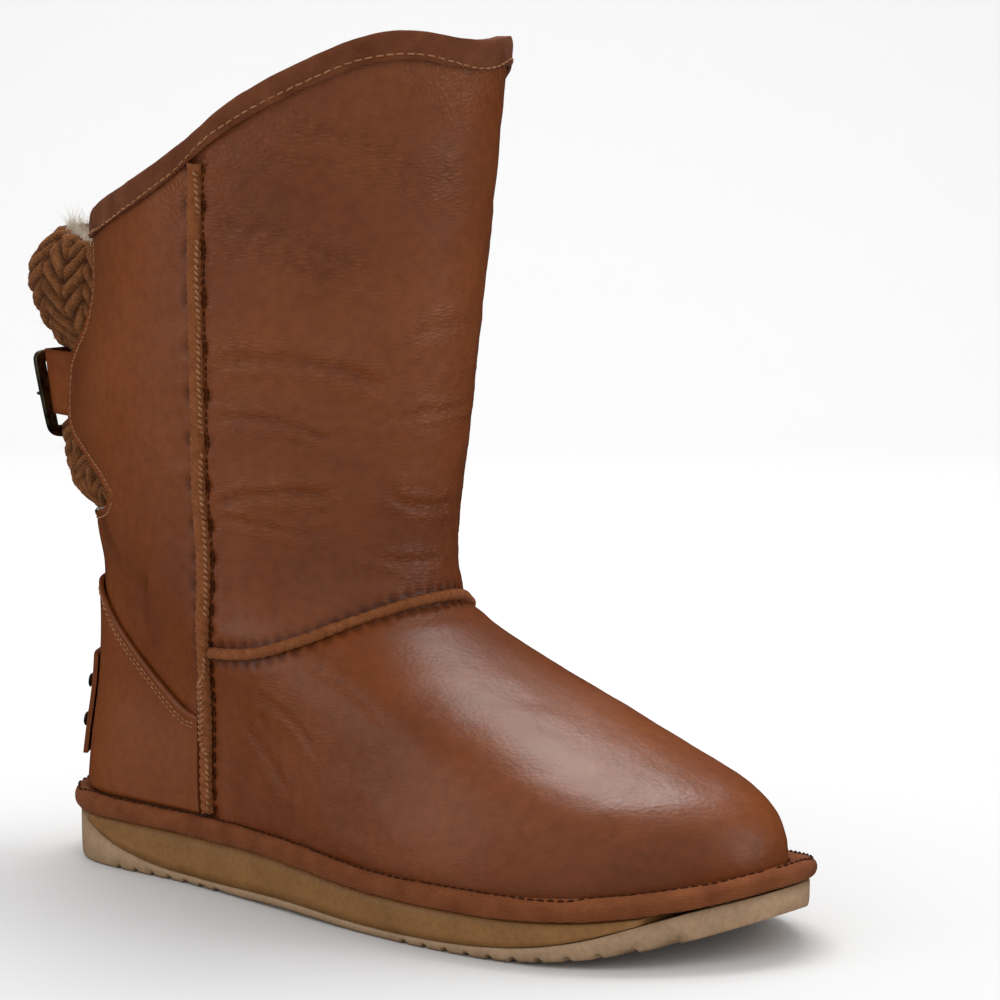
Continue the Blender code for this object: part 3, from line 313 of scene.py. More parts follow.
def nappa(name, rough, painted=False, grain=0.25):
    """Smooth tanned leather: cloudy brown and fine pores. Painted leather also has crinkles, a painted highlight
    on their ridges, and painted shade in its creases and seam grooves.
    """
    look = Look(name, rough)
    cloud = look.noise(13.0, 4.0, 0.55)
    colour = look.ramp(cloud, ((0.30, LEATHER_DARK), (0.5, LEATHER_MID), (0.74, LEATHER_LIGHT)))
    speck = look.ramp(look.noise(300.0, 3.0), ((0.3, (0.88, 0.86, 0.84)), (0.62, (1.04, 1.03, 1.02))))
    colour = look.mix(1.0, colour, speck, "MULTIPLY")
    rough_value = look.scaled(look.noise(45.0, 4.0), rough - 0.06, rough + 0.10)
    if painted:
        crinkled = look.attribute("crinkle")
        painted_shade = look.attribute("shade")
        lines = look.mapped((1.0, 1.0, 3.0))
        folds = look.noise(120.0, 5.0, 0.62, lines, 1.4)
        look.bump(look.product(folds, crinkled), 0.30, 0.0012)
        cracks = look.cells(250.0, look.mapped((1.0, 1.0, 3.4)), "DISTANCE_TO_EDGE")
        creased = look.ramp(cracks, ((0.0, (0.0, 0.0, 0.0)), (0.35, (1.0, 1.0, 1.0))))
        look.bump(look.product(creased, crinkled), 0.35, 0.0007)
        # Painted highlight: the crinkles' ridges are painted a lighter brown.
        ridge_highlight = look.ramp(cracks, ((0.10, (0.0, 0.0, 0.0)), (0.5, (0.35, 0.35, 0.35))))
        colour = look.mix(look.product(ridge_highlight, crinkled), colour, (0.27, 0.083, 0.024))
        pebbles = look.cells(480.0, None, "DISTANCE_TO_EDGE")
        pebbled = look.ramp(pebbles, ((0.0, (0.0, 0.0, 0.0)), (0.30, (1.0, 1.0, 1.0))))
        look.bump(look.product(pebbled, look.attribute("pebble")), 0.35, 0.0006)
        # Painted shade: darker brown where the shade attribute is low, in crease troughs and seam grooves.
        colour = look.mix(painted_shade, look.mix(1.0, colour, (0.30, 0.24, 0.20), "MULTIPLY"), colour)
    look.bump(look.cells(620.0, look.mapped((1.0, 1.0, 1.5))), grain, 0.0005)
    look.bump(look.noise(1700.0, 2.0), grain * 0.7, 0.0003)
    return look.done(colour, rough_value)


def twill(name, dark, light, pitch):
    """A woven tape: fine diagonal ribs and a soft nap."""
    look = Look(name, 0.85, specular=0.12)
    turned = look.mapped((1, 1, 1), (0.0, math.radians(38), math.radians(25)))
    ribs = look.bands(1.0 / pitch / 3.0, turned, 1.5, "DIAGONAL")
    fuzz = look.noise(900.0, 3.0)
    colour = look.ramp(look.noise(120.0, 4.0), ((0.3, dark), (0.7, light)))
    colour = look.mix(look.scaled(ribs, 0.0, 0.5), colour, light)
    look.bump(ribs, 0.6, 0.0005)
    look.bump(fuzz, 0.5, 0.0004)
    return look.done(colour)


def yarn(name, dark, light, strand, fuzz=0.6, painted=False):
    """Thread or wool: fine twisted strands and fuzz. Painted wool has painted shade between its strands."""
    look = Look(name, 0.9, specular=0.1)
    twist = look.bands(1.0 / strand / 3.0, look.mapped((1, 1, 1), (0.4, 0.9, 0.5)), 3.0)
    colour = look.ramp(look.noise(300.0, 4.0, 0.65), ((0.28, dark), (0.72, light)))
    colour = look.mix(look.scaled(twist, 0.0, 0.4), colour, light)
    look.bump(twist, 0.55, 0.0005)
    look.bump(look.noise(1300.0, 3.0), fuzz, 0.0005)
    if painted:
        # Painted shade: the wool is darkened between its strands where the shade attribute is low.
        shaded_gaps = look.mix(1.0, colour, (0.26, 0.22, 0.20), "MULTIPLY")
        colour = look.mix(look.attribute("shade"), shaded_gaps, colour)
    return look.done(colour)


def rubber(name, dark, light, rough):
    look = Look(name, rough, specular=0.35)
    colour = look.ramp(look.noise(70.0, 5.0, 0.6), ((0.3, dark), (0.7, light)))
    grime = look.ramp(look.noise(600.0, 3.0), ((0.32, (0.86, 0.83, 0.78)), (0.6, (1.0, 1.0, 1.0))))
    colour = look.mix(1.0, colour, grime, "MULTIPLY")
    look.bump(look.noise(700.0, 3.0), 0.18, 0.0004)
    return look.done(colour)


def pile(name, dark, light):
    """Shorn fleece: soft curls."""
    look = Look(name, 0.95, specular=0.1)
    colour = look.ramp(look.noise(210.0, 5.0, 0.7), ((0.3, dark), (0.65, light)))
    look.bump(look.cells(330.0), 0.8, 0.0012)
    look.bump(look.noise(900.0, 4.0, 0.7), 0.9, 0.0009)
    look.shader.inputs["Sheen Weight"].default_value = 0.5
    return look.done(colour)


def metal(name, dark, light, rough):
    look = Look(name, rough, 1.0)
    wear = look.noise(240.0, 5.0, 0.65)
    colour = look.ramp(wear, ((0.35, dark), (0.65, light)))
    look.bump(look.noise(900.0, 4.0), 0.15, 0.0003)
    return look.done(colour, look.scaled(wear, rough - 0.08, rough + 0.15))


UPPER = nappa("leather_upper", 0.39, True, 0.10)
COUNTER = nappa("leather_counter", 0.38, False, 0.06)
STRAP = nappa("leather_strap", 0.36, False, 0.12)
TAPE = twill("collar_twill", (0.092, 0.0240, 0.0085), (0.165, 0.0530, 0.0215), 0.0005)
FOXING = twill("foxing_twill", (0.125, 0.0330, 0.0100), (0.205, 0.0640, 0.0220), 0.0005)
CORD = yarn("cord_thread", (0.145, 0.0410, 0.0120), (0.240, 0.0830, 0.0300), 0.0006, 0.3)
STITCH = yarn("stitch_thread", (0.24, 0.098, 0.040), (0.40, 0.190, 0.092), 0.0004, 0.2)
# Painted shade: near-black thread for stitch lines that lie in shade.
SHADOW = yarn("stitch_dark", (0.030, 0.008, 0.003), (0.065, 0.018, 0.006), 0.0004, 0.2)
KNIT = yarn("knit_wool", (0.075, 0.0235, 0.0065), (0.230, 0.0870, 0.0290), 0.0009, 0.7, True)
FLEECE = pile("fleece_cream", (0.55, 0.42, 0.29), (0.80, 0.70, 0.56))
AMBER = rubber("sole_amber", (0.215, 0.098, 0.026), (0.270, 0.128, 0.038), 0.5)
PALE = rubber("sole_pale", (0.290, 0.182, 0.102), (0.370, 0.240, 0.140), 0.55)
BRASS = metal("brass_antique", (0.08, 0.065, 0.038), (0.34, 0.29, 0.18), 0.36)
DARK = metal("rivet_dark", (0.05, 0.045, 0.04), (0.14, 0.125, 0.11), 0.38)


def dress(thing, material, slot, *replaced):
    """Gives a piece its material, its body and the nodes it stands for."""
    thing.data.materials.clear()
    for each in material if isinstance(material, (list, tuple)) else [material]:
        thing.data.materials.append(each)
    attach(thing, "root")
    if replaced:
        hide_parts(*replaced)
    return thing


def seam_path(node, count, low_first):
    """The middle line of a seam's node on the leather."""
    raw = np.array([v.co for v in nodes[node].data.vertices], float)
    raw = np.unique(np.round(raw, 6), axis=0)
    if low_first:
        key = raw[:, 2]
    else:
        key = np.arctan2(raw[:, 0] - AXIS_X, 0.036 - raw[:, 1])
    edges = np.linspace(key.min(), key.max(), count)
    width = (key.max() - key.min()) / count * 1.6
    middle = []
    for at in edges:
        share = np.exp(-(((key - at) / width) ** 2))
        middle.append((raw * share[:, None]).sum(0) / share.sum())
    middle = np.array(middle)
    ends = raw[np.argsort(key)]
    middle[0] = ends[:7].mean(0)
    middle[-1] = ends[-7:].mean(0)
    return middle



def border(body, region, keep):
    """The longest border of a region of faces, in order, with the side that the region lies on."""
    links = {}
    hints = {}
    for edge in body.edges:
        inside = [face for face in edge.link_faces if face in region]
        middle = (edge.verts[0].co + edge.verts[1].co) / 2
        if len(inside) != 1:
            continue
        inward = inside[0].calc_center_median() - middle
        if not keep(middle, inward.normalized()):
            continue
        for vert in edge.verts:
            links.setdefault(vert, []).append(edge)
            hints[vert] = (inward, inside[0].normal.copy())
    left = set(links)
    best = []
    while left:
        ends = [vert for vert in left if len(links[vert]) == 1]
        vert = ends[0] if ends else next(iter(left))
        chain = [vert]
        left.discard(vert)
        moved = True
        while moved:
            moved = False
            for edge in links[vert]:
                other = edge.other_vert(vert)
                if other in left:
                    vert = other
                    chain.append(vert)
                    left.discard(vert)
                    moved = True
                    break
        if len(chain) > len(best):
            best = chain
    points = np.array([vert.co for vert in best])
    vote = 0.0
    for before, vert, after in zip(best[:-2], best[1:-1], best[2:]):
        inward, normal = hints[vert]
        vote += normal.cross(after.co - before.co).dot(inward)
    return points, 1.0 if vote > 0 else -1.0


def tree_of(thing):
    mesh = thing.data
    return BVHTree.FromPolygons([v.co for v in mesh.vertices], [p.vertices for p in mesh.polygons])


def steady(values, reach):
    """A row of vectors averaged with its neighbours."""
    padded = np.vstack([np.repeat(values[:1], reach, 0), values, np.repeat(values[-1:], reach, 0)])
    sums = np.vstack([np.zeros((1, 3)), np.cumsum(padded, 0)])
    return (sums[2 * reach + 1 :] - sums[: -2 * reach - 1]) / (2 * reach + 1)


def beside(tree, line, offset, lift):
    """A line moved sideways along a surface and laid on it, with the surface's normals."""
    runs = steady(np.gradient(line, axis=0), 3)
    found = [tree.find_nearest(Vector(place)) for place in line]
    ways = steady(np.array([hit[1] for hit in found]), 8)
    sides = np.cross(ways, runs)
    sides /= np.maximum(np.linalg.norm(sides, axis=1), 1e-9)[:, None]
    moved = line + sides * offset
    found = [tree.find_nearest(Vector(place)) for place in moved]
    normals = steady(np.array([hit[1] for hit in found]), 5)
    normals /= np.linalg.norm(normals, axis=1)[:, None]
    points = steady(np.array([hit[0] for hit in found]), 2) + normals * lift
    return points, normals


def stitches(name, rows, pitch, length, radius, slant=0.0, material=None, arch=0.35):
    """Rows of thread stitches as one mesh: each stitch is a short arched capsule on its row."""
    points = []
    faces = []
    sides = 6
    rings = ((-1.0, 0.35, -1.0), (-0.72, 0.95, -0.2), (0.0, 1.1, 1.0), (0.72, 0.95, -0.2), (1.0, 0.35, -1.0))
    for line, normals in rows:
        run = np.concatenate([[0], np.cumsum(np.linalg.norm(np.diff(line, axis=0), axis=1))])
        for at in np.arange(pitch * 0.6, run[-1] - pitch * 0.4, pitch):
            at += float(RNG.normal(0, pitch * 0.04))
            place = np.array([np.interp(at, run, line[:, k]) for k in range(3)])
            ahead = np.array([np.interp(at + length / 2, run, line[:, k]) for k in range(3)])
            up = np.array([np.interp(at, run, normals[:, k]) for k in range(3)])
            up /= np.linalg.norm(up)
            along = ahead - place
            along -= up * (along @ up)
            along /= max(np.linalg.norm(along), 1e-9)
            across = np.cross(up, along)
            turn = slant + float(RNG.normal(0, 0.05))
            along, across = (
                along * math.cos(turn) + across * math.sin(turn),
                across * math.cos(turn) - along * math.sin(turn),
            )
            base = len(points)
            for share, girth, rise in rings:
                middle = place + along * share * length / 2 + up * radius * rise * arch * 2
                for step in range(sides):
                    angle = 2 * math.pi * step / sides
                    points.append(middle + (across * math.cos(angle) + up * math.sin(angle)) * radius * girth)
            for ring in range(len(rings) - 1):
                for step in range(sides):
                    a = base + ring * sides + step
                    b = base + ring * sides + (step + 1) % sides
                    faces.append((a, b, b + sides, a + sides))
            faces.append(tuple(base + step for step in range(sides))[::-1])
            faces.append(tuple(base + (len(rings) - 1) * sides + step for step in range(sides)))
    made = from_data(name, points, faces)
    made.data.materials.append(material or STITCH)
    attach(made, "root")
    return made


def wavering(points):
    """Where the leather wrinkles by itself: shallow folds that run round the leg, strongest in front."""
    around = np.arctan2(points[:, 0] - AXIS_X, AXIS_Y - points[:, 1])
    radius = 0.055
    flat = np.stack([around * radius, points[:, 2] * 2.6, points[:, 1] * 0.2], -1)
    return wavy(flat, (0.011, 0.011, 0.011), 3.0, 3)


def crease_field(points):
    """How far the leather moves along its normal at each place, in metres, and how crinkled it is, 0 to 1."""
    lift = np.zeros(len(points))
    crinkled = np.zeros(len(points))
    for table, ridged in ((CREASES, True), (DENTS, False)):
        for depth, width, line in table:
            fine = smooth_line(np.array(line) * MM, 60)
            reach = width * MM * (9.0 if ridged else 3.0)
            near = np.all((points > fine.min(0) - reach) & (points < fine.max(0) + reach), axis=1)
            picked = np.where(near)[0]
            if not len(picked):
                continue
            some = points[picked]
            wobble = 1 + 0.35 * wavy(some, (0.009, 0.009, 0.009), 7.0, 1)
            distance, share = to_line(some, fine)
            distance = distance / (width * MM * wobble)
            fade = np.clip(np.minimum(share, 1 - share) / 0.16, 0, 1)
            fade = fade * fade * (3 - 2 * fade)
            change = -np.exp(-(distance**2))
            if ridged:
                change += 0.55 * np.exp(-(((distance - 1.9) / 1.0) ** 2))
                spread_out = min(1.0, depth / 0.8) * np.exp(-((distance / 3.4) ** 2)) * (0.35 + 0.65 * fade)
                crinkled[picked] = np.maximum(crinkled[picked], spread_out)
            lift[picked] += depth * MM * fade * change
    return lift, crinkled


def paint(thing, name, values):
    layer = thing.data.attributes.new(name, "FLOAT", "POINT")
    layer.data.foreach_set("value", np.asarray(values, np.float32))


def nearest(points, places):
    """Distance from each point to the nearest of some places."""
    tree = KDTree(len(places))
    for index, place in enumerate(places):
        tree.insert(Vector(place), index)
    tree.balance()
    return np.array([tree.find(Vector(point))[2] for point in points])


def lowest_side(faces):
    return min(faces, key=lambda face: face.calc_center_median().x)


def rearmost(faces):
    return max(faces, key=lambda face: face.calc_center_median().y)


def node_border(node, sharp, keep, pick, count=300):
    """The border of a node's outer face, as a smooth line, with the side that the face lies on."""
    body = clean_mesh(node)
    outer = spread(body, pick(body.faces), sharp)
    points, side = border(body, outer, keep)
    body.free()
    return smooth_line(points, count), side


def top_ring(node, parts, count):
    """The highest line of a node that goes round the sole, as a smooth loop."""
    points = places_of(nodes[node])[0]
    turns = np.arctan2(points[:, 0] / 0.05, points[:, 1] / 0.14)
    parted = ((turns + math.pi) / (2 * math.pi) * parts).astype(int) % parts
    ring = [points[parted == part] for part in range(parts)]
    ring = np.array([some[np.argmax(some[:, 2])] for some in ring if len(some)])
    ring = np.vstack([ring[-4:], ring, ring[:4]])
    ring = steady(ring, 1)[4:-4]
    return smooth_line(np.vstack([ring, ring[:1]]), count)


def dressed_upper():
    """The leather: the wall's outer face and its edges, creased, with the lining inside as a piece of its own."""
    body = clean_mesh("upper")
    toe = min(body.faces, key=lambda face: face.calc_center_median().y)
    outer = spread(body, toe, 45)
    rest = [face for face in body.faces if face not in outer]
    aim = Vector((AXIS_X, 0.02, 0.2))
    first = min(
        (face for face in rest if face.normal.y > 0.6), key=lambda face: (face.calc_center_median() - aim).length
    )
    inner = spread(body, first, 45)
    opening, side = border(
        body, outer, lambda p, way: p.y > AXIS_Y + 20 * MM and abs(p.x - AXIS_X) < 40 * MM and 0.1 < p.z < 0.2
    )
    body.faces.index_update()
    kept = {face.index for face in inner}
    copy = body.copy()
    copy.faces.ensure_lookup_table()
    bmesh.ops.delete(copy, geom=[face for face in copy.faces if face.index not in kept], context="FACES")
    bmesh.ops.delete(body, geom=list(inner), context="FACES")
    leather = finer(body, "upper_leather", 3, 45)
    wool = finer(copy, "shaft_lining", 2, 45)
    points, normals = places_of(leather)
    lift, crinkled = crease_field(points)
    bare = lift.copy()
    height = points[:, 2]
    facing = np.clip((AXIS_Y + 0.012 - points[:, 1]) / 0.03, 0, 1)
    shaft = np.clip((height - 0.075) / 0.03, 0, 1) * np.clip((0.256 - height) / 0.012, 0, 1)
    lift += wavering(points) * 0.30 * MM * facing * shaft
    vamp = np.clip((0.085 - height) / 0.02, 0, 1) * np.clip((AXIS_Y - points[:, 1]) / 0.02, 0, 1)
    lift += wavy(points, (0.016, 0.016, 0.009), 11.0, 3) * 0.25 * MM * vamp
    places = np.vstack([places_of(nodes[name])[0] for name in SEAM_NODES])
    close = np.clip(nearest(points, places) - 1.0 * MM, 0, None)
    pucker = np.exp(-((close / (4.5 * MM)) ** 2))
    ripple = wavy(points, (0.02, 0.02, 0.0035), 21.0, 1)
    toeward = np.clip((0.036 - points[:, 1]) / 0.004, 0, 1)
    lift += pucker * ripple * 0.25 * MM * toeward * shaft
    groove = np.exp(-((close / (1.5 * MM)) ** 2))
    lift += 0.35 * MM * np.exp(-(((close - 4.0 * MM) / (2.5 * MM)) ** 2)) - 0.5 * MM * groove
    lip = nearest(points, smooth_line(opening, 300))
    lift += 0.45 * MM * np.exp(-((lip / (1.5 * MM)) ** 4)) - 0.25 * MM * np.exp(-(((lip / MM - 2.4) / 0.7) ** 2))
    put_places(leather, points + normals * lift[:, None])
    base = 0.07 * facing * shaft + 0.06 * vamp + 0.10 * wavy(points, (0.03, 0.03, 0.02), 31.0, 2) * facing
    crinkled = np.clip((crinkled + 0.5 * pucker * shaft) * toeward + base, 0, 1)
    paint(leather, "crinkle", crinkled)
    rim, _ = node_border("collar_tape", 45, lambda place, way: way.z > 0.3, lowest_side)
    under = nearest(points, rim)
    paint(leather, "pebble", np.exp(-((under / (15 * MM)) ** 2)) * facing)
    # Painted shade: the leather is painted darker in the crease troughs and in the grooves beside the seams.
    trough = np.clip(-bare / (1.1 * MM), 0, 1) * 0.10
    paint(leather, "shade", np.clip(1.0 - trough - 0.6 * groove, 0, 1))
    inner_points, inner_normals = places_of(wool)
    curl = wavy(inner_points, (0.004, 0.004, 0.004), 5.0, 3)
    put_places(wool, inner_points + inner_normals * (0.5 + 0.7 * curl)[:, None] * MM)
    dress(leather, UPPER, "tan_leather", "upper")
    dress(wool, FLEECE, "cream_fleece")
    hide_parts("upper")
    return leather, opening, side


def refined(node, name, levels, sharp, material, slot, relief=None):
    """A node's own form, rounded, with its material, and with relief along its normals if there is any."""
    made = finer(clean_mesh(node), name, levels, sharp)
    if relief:
        points, normals = places_of(made)
        put_places(made, points + normals * relief(points, normals)[:, None])
    return dress(made, material, slot, node)


def seam_relief(line, pitch, depth, slope):
    """Twisted cord: rounded turns that run slantwise over the seam."""
    fine = smooth_line(line, 400)
    run = np.concatenate([[0], np.cumsum(np.linalg.norm(np.diff(fine, axis=0), axis=1))])[-1]
    ways = np.gradient(fine, axis=0)
    ways /= np.linalg.norm(ways, axis=1)[:, None]
    tree = KDTree(len(fine))
    for index, place in enumerate(fine):
        tree.insert(place, index)
    tree.balance()

    def relief(points, normals):
        found = np.array([tree.find(Vector(place))[1] for place in points])
        share = found / (len(fine) - 1) * run
        share += ((points - fine[found]) * ways[found]).sum(1)
        side = np.cross(normals, ways[found])
        lateral = ((points - fine[found]) * np.cross(ways[found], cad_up(points))).sum(1)
        turns = np.abs(np.sin(math.pi * (share + lateral * slope) / pitch)) ** 0.6
        return depth * (turns - 0.45) + 0.0 * side[:, 0]

    return relief


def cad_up(points):
    """The way out of the leg at each place, level with the floor."""
    out = points - np.array([AXIS_X, AXIS_Y, 0.0])
    out[:, 2] = 0.0
    out[points[:, 2] < 0.08, 2] = 0.03
    return out / np.maximum(np.linalg.norm(out, axis=1), 1e-6)[:, None]


def knit_relief(points):
    """Cables: fat strands that lean one way, then the other, in columns round the back of the leg, and how lit
    each place is, 0 to 1, for the painted shade between the strands.
    """
    around = np.arctan2(points[:, 0] - AXIS_X, points[:, 1] - 0.06) * 0.052
    height = points[:, 2]
    column = around / (15 * MM)
    within = column - np.floor(column)
    lean = np.where(within < 0.5, within, 1 - within) * 15 * MM
    strand = (height + lean * 1.15) / (6.2 * MM)
    bow = np.abs(np.sin(math.pi * strand)) ** 0.7
    seam = np.clip(np.abs(np.sin(math.pi * column * 2)) * 3.0, 0, 1) ** 0.6
    ply = np.abs(np.sin(math.pi * (strand * 4.0 + column * 3.0)))
    fuzz = wavy(points, (0.0012, 0.0012, 0.0012), 2.0, 2)
    lump = wavy(points, (0.012, 0.012, 0.012), 9.0, 1)
    lift = (bow * seam * 2.1 - 1.0 + 0.20 * ply + 0.18 * fuzz + 0.5 * lump) * MM
    return lift, np.clip(bow * seam * (0.75 + 0.35 * ply), 0, 1)


def dressed_knit():
    """The knit: its outer face with cables, and its inner face as plain fleece."""
    body = clean_mesh("knit_gusset")
    back = max(body.faces, key=lambda face: face.calc_center_median().y)
    outer = spread(body, back, 74)
    kept = {face.index for face in outer}
    copy = body.copy()
    copy.faces.ensure_lookup_table()
    bmesh.ops.delete(copy, geom=[face for face in copy.faces if face.index in kept], context="FACES")
    bmesh.ops.delete(body, geom=[face for face in body.faces if face.index not in kept], context="FACES")
    knit = finer(body, "knit", 4, 60)
    points, normals = places_of(knit)
    lift, shade = knit_relief(points)
    put_places(knit, points + normals * lift[:, None])
    # Painted shade: the knit is painted darker between its strands and cables.
    paint(knit, "shade", shade)
    dress(knit, KNIT, "brown_knit", "knit_gusset")
    inside = finer(copy, "knit_lining", 2, 50)
    points, normals = places_of(inside)
    put_places(inside, points + normals * (0.6 * wavy(points, (0.004, 0.004, 0.004), 5.0, 3))[:, None] * MM)
    dress(inside, FLEECE, "cream_fleece")
    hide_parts("knit_gusset")
    return knit


def hairs(name, roots, ways, length, radius, material, curl=0.4):
    """Short curved tufts as one mesh: three-sided, tapered, leaning at random."""
    points = []
    faces = []
    for root, way in zip(roots, ways):
        lean = RNG.normal(0, curl, 3)
        bend = RNG.normal(0, curl * 1.4, 3)
        long = length * float(RNG.uniform(0.5, 1.2))
        base = len(points)
        first = np.cross(way, RNG.normal(0, 1, 3))
        first /= max(np.linalg.norm(first), 1e-9)
        second = np.cross(way, first)
        for share in (0.0, 0.35, 0.7, 1.0):
            middle = root + (way + lean * share + bend * share**2) * long * share
            girth = radius * (1.05 - share)
            for step in range(3):
                angle = 2 * math.pi * step / 3
                points.append(middle + (first * math.cos(angle) + second * math.sin(angle)) * girth)
        for ring in range(3):
            for step in range(3):
                a = base + ring * 3 + step
                b = base + ring * 3 + (step + 1) % 3
                faces.append((a, b, b + 3, a + 3))
    made = from_data(name, points, faces)
    made.data.materials.append(material)
    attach(made, "root")
    return made


leather, opening_line, opening_side = dressed_upper()
knit = dressed_knit()
leather_tree = tree_of(leather)

# Cords over the seams
for node in SEAM_NODES:
    upright = node.startswith("side")
    middle = seam_path(node, 40, upright)
    relief = seam_relief(middle, (2.7 if upright else 3.2) * MM, (0.55 if upright else 0.30) * MM, 0.55)
    refined(node, node + "_cord", 4, 50, CORD, "seam_thread", relief)

# Tapes, counter, patch, strap and sole


def nap(points, normals):
    return wavy(points, (0.007, 0.007, 0.007), 4.0, 2) * 0.18 * MM


tape = refined("collar_tape", "collar_tape_twill", 3, 60, TAPE, "twill_tape", nap)
foxing = refined("foxing_tape", "foxing_twill", 3, 60, FOXING, "twill_tape", nap)
counter_edge, counter_side = node_border(
    "heel_counter", 45, lambda place, way: place.z > 52 * MM, rearmost
)


def folded_lip(points, normals):
    """The counter's upper edge is turned over, so that it stands a little higher."""
    return 0.45 * MM * np.exp(-((nearest(points, counter_edge) / (1.3 * MM)) ** 4))


counter = refined("heel_counter", "heel_counter_leather", 3, 50, COUNTER, "tan_leather", folded_lip)
patch = refined("heel_patch", "heel_patch_leather", 3, 50, STRAP, "strap_leather")
strap = refined("strap", "strap_leather_band", 3, 50, STRAP, "strap_leather")
refined("buckle_chape", "buckle_chape_leather", 1, 35, STRAP, "strap_leather")
refined("buckle_frame", "buckle_frame_brass", 2, 60, BRASS, "antique_brass")
refined("buckle_prong", "buckle_prong_brass", 2, 60, BRASS, "antique_brass")
for name in ("rivet_upper_outer", "rivet_upper_inner", "rivet_lower_outer", "rivet_lower_inner"):
    refined(name, name + "_metal", 2, 60, DARK, "dark_metal")
refined("insole", "insole_fleece", 2, 40, FLEECE, "cream_fleece")
refined("midsole", "midsole_amber", 2, 40, AMBER, "amber_foam")
refined("outsole", "outsole_pale", 1, 40, PALE, "tan_rubber")

# Rows of thread


line = smooth_line(opening_line, 240)
rows = [beside(leather_tree, line, opening_side * 2.3 * MM, 0.1 * MM)]
stitches("stitches_opening", rows, 2.4 * MM, 1.9 * MM, 0.26 * MM)

line, side = node_border("collar_tape", 45, lambda place, way: way.z > 0.3, lowest_side)
rows = [beside(tree_of(tape), line, side * 1.8 * MM, 0.1 * MM)]
stitches("stitches_collar", rows, 3.2 * MM, 2.5 * MM, 0.27 * MM)

counter_tree = tree_of(counter)
rows = [beside(counter_tree, counter_edge, counter_side * out * MM, 0.08 * MM) for out in (1.9, 3.2)]
stitches("stitches_counter", rows, 2.2 * MM, 1.7 * MM, 0.24 * MM)

rows = [beside(tree_of(foxing), top_ring("foxing_tape", 90, 600), 0.0, 0.02 * MM)]
stitches("stitches_foxing", rows, 3.0 * MM, 2.7 * MM, 0.36 * MM, material=SHADOW)

line, side = node_border("heel_patch", 45, lambda place, way: abs(way.x) > 0.5, rearmost)
rows = [beside(tree_of(patch), line, side * 1.3 * MM, 0.08 * MM)]
stitches("stitches_patch", rows, 2.4 * MM, 1.9 * MM, 0.28 * MM, material=SHADOW)

for node in SEAM_NODES:
    cord_tree = tree_of(bpy.data.objects[node + "_cord"])
    upright = node.startswith("side")
    line = smooth_line(seam_path(node, 40, upright), 300)
    if upright:
        heelward = 1.0 if node.endswith("outer") else -1.0
        rows = [beside(cord_tree, line, heelward * 1.5 * MM, 0.12 * MM)]
        stitches("stitches_" + node + "_left", rows, 1.9 * MM, 2.0 * MM, 0.40 * MM, heelward * 0.75)
        rows = [beside(cord_tree, line, heelward * 0.3 * MM, 0.12 * MM)]
        stitches("stitches_" + node + "_right", rows, 1.9 * MM, 2.0 * MM, 0.40 * MM, heelward * -0.75)
        rows = [beside(leather_tree, line, heelward * -3.4 * MM, 0.05 * MM)]
        stitches("stitches_" + node + "_chain", rows, 2.4 * MM, 2.0 * MM, 0.26 * MM, material=SHADOW)
    else:
        rows = [beside(cord_tree, line, 0.0, 0.1 * MM)]
        stitches("stitches_" + node, rows, 2.7 * MM, 1.3 * MM, 0.30 * MM, 1.1)

# Fleece that stands out above the knit, and loose fibres of the wool
line, side = node_border("knit_gusset", 74, lambda place, way: place.z > 0.19 and way.z < 0.2, rearmost)
roots = line[RNG.integers(0, len(line), 1500)] + RNG.normal(0, 0.6 * MM, (1500, 3))
ways = np.tile((0.0, -0.15, 1.0), (len(roots), 1))
hairs("fleece_edge", roots, ways, 2.6 * MM, 0.12 * MM, FLEECE, 0.6)
points, normals = places_of(knit)
picked = RNG.integers(0, len(points), 1800)
hairs("wool_fibres", points[picked], normals[picked], 1.2 * MM, 0.04 * MM, CORD, 0.9)

# Stage, light and camera

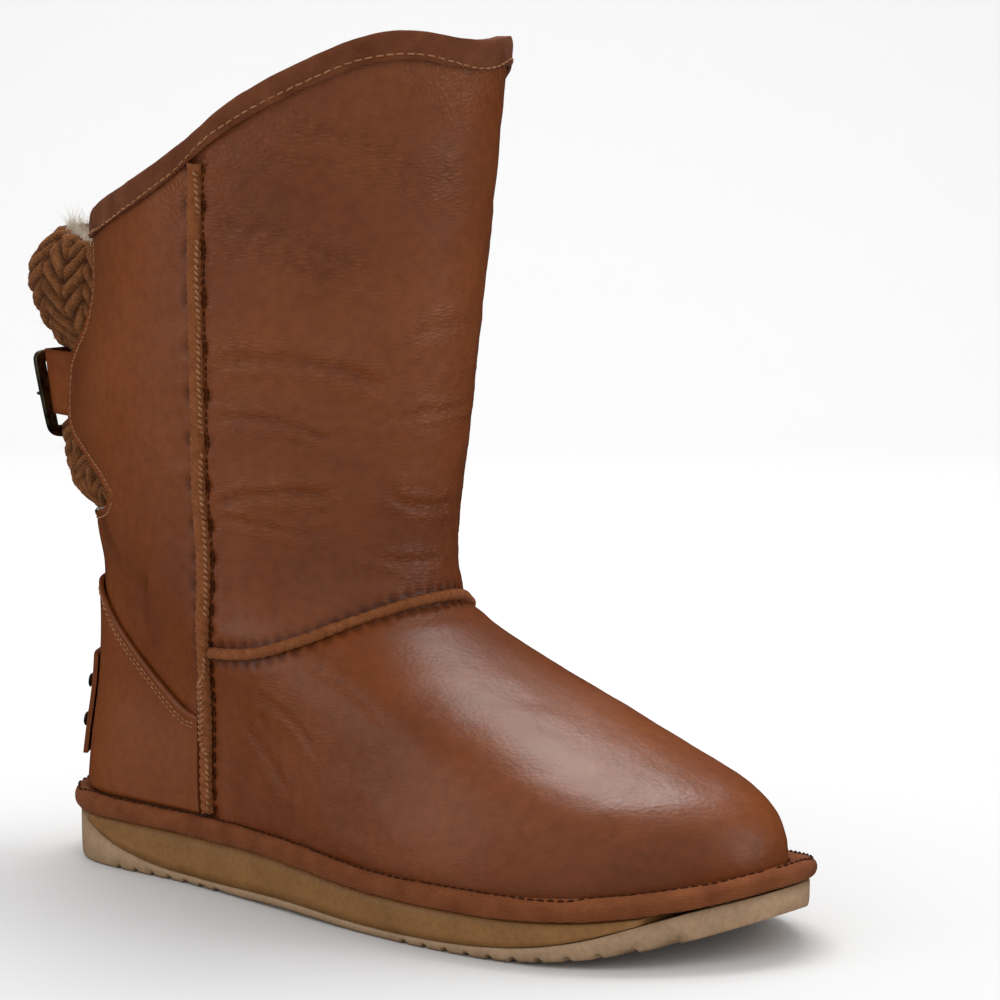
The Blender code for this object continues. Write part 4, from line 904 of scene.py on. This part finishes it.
def stage():
    """A pale seamless floor that curves up behind the boot."""
    points = []
    faces = []
    profile = [(-3.0, 0.0), (1.2, 0.0)]
    profile += [(1.2 + 0.8 * math.sin(a), 0.8 - 0.8 * math.cos(a)) for a in np.linspace(0.1, math.pi / 2, 10)]
    profile += [(2.0, 4.0)]
    yaw = math.radians(CAMERA_YAW)
    ahead = np.array([math.cos(yaw), math.sin(yaw), 0.0])
    right = np.array([math.sin(yaw), -math.cos(yaw), 0.0])
    for out, up in profile:
        for side in (-4.0, 4.0):
            points.append(ahead * out + right * side + np.array([0.0, 0.0, up]))
    for step in range(len(profile) - 1):
        faces.append((2 * step, 2 * step + 1, 2 * step + 3, 2 * step + 2))
    made = from_data("floor", points, faces)
    look = Look("studio_white", 0.9, specular=0.1)
    look.shader.inputs["Base Color"].default_value = (0.60, 0.60, 0.60, 1.0)
    made.data.materials.append(look.done())
    made.visible_glossy = False


def light(name, place, aim, size, power, colour=(1.0, 1.0, 1.0)):
    data = bpy.data.lights.new(name, "AREA")
    data.shape = "RECTANGLE"
    data.size, data.size_y = size
    data.energy = power
    data.color = colour
    made = bpy.data.objects.new(name, data)
    bpy.context.scene.collection.objects.link(made)
    made.location = place
    made.rotation_euler = (Vector(aim) - Vector(place)).to_track_quat("-Z", "Y").to_euler()
    return made


def camera():
    data = bpy.data.cameras.new("camera")
    data.lens = CAMERA_LENS
    data.sensor_width = SENSOR
    data.clip_start = 0.05
    made = bpy.data.objects.new("camera", data)
    bpy.context.scene.collection.objects.link(made)
    made.location = CAMERA_PLACE
    yaw, pitch = math.radians(CAMERA_YAW), math.radians(CAMERA_PITCH)
    look = Vector((math.cos(pitch) * math.cos(yaw), math.cos(pitch) * math.sin(yaw), -math.sin(pitch)))
    made.rotation_euler = look.to_track_quat("-Z", "Y").to_euler()
    bpy.context.scene.camera = made


stage()
camera()
light("top", (0.50, 0.30, 1.40), (0, 0, 0.05), (0.9, 0.9), 13)
light("left", (-0.95, 0.75, 0.55), (0, 0.02, 0.14), (0.4, 1.1), 1.6)
light("right", (0.55, -1.15, 0.5), (0, -0.02, 0.12), (0.4, 0.9), 2.2)
light("backdrop", (0.6, 0.45, 2.3), (1.7, 1.4, 0.6), (1.5, 0.6), 20)
world = bpy.data.worlds.new("studio")
bpy.context.scene.world = world
world.use_nodes = True
world.node_tree.nodes["Background"].inputs["Color"].default_value = (1, 1, 1, 1)
world.node_tree.nodes["Background"].inputs["Strength"].default_value = 1.1
world.cycles_visibility.glossy = False
bpy.context.scene.view_settings.view_transform = "Standard"
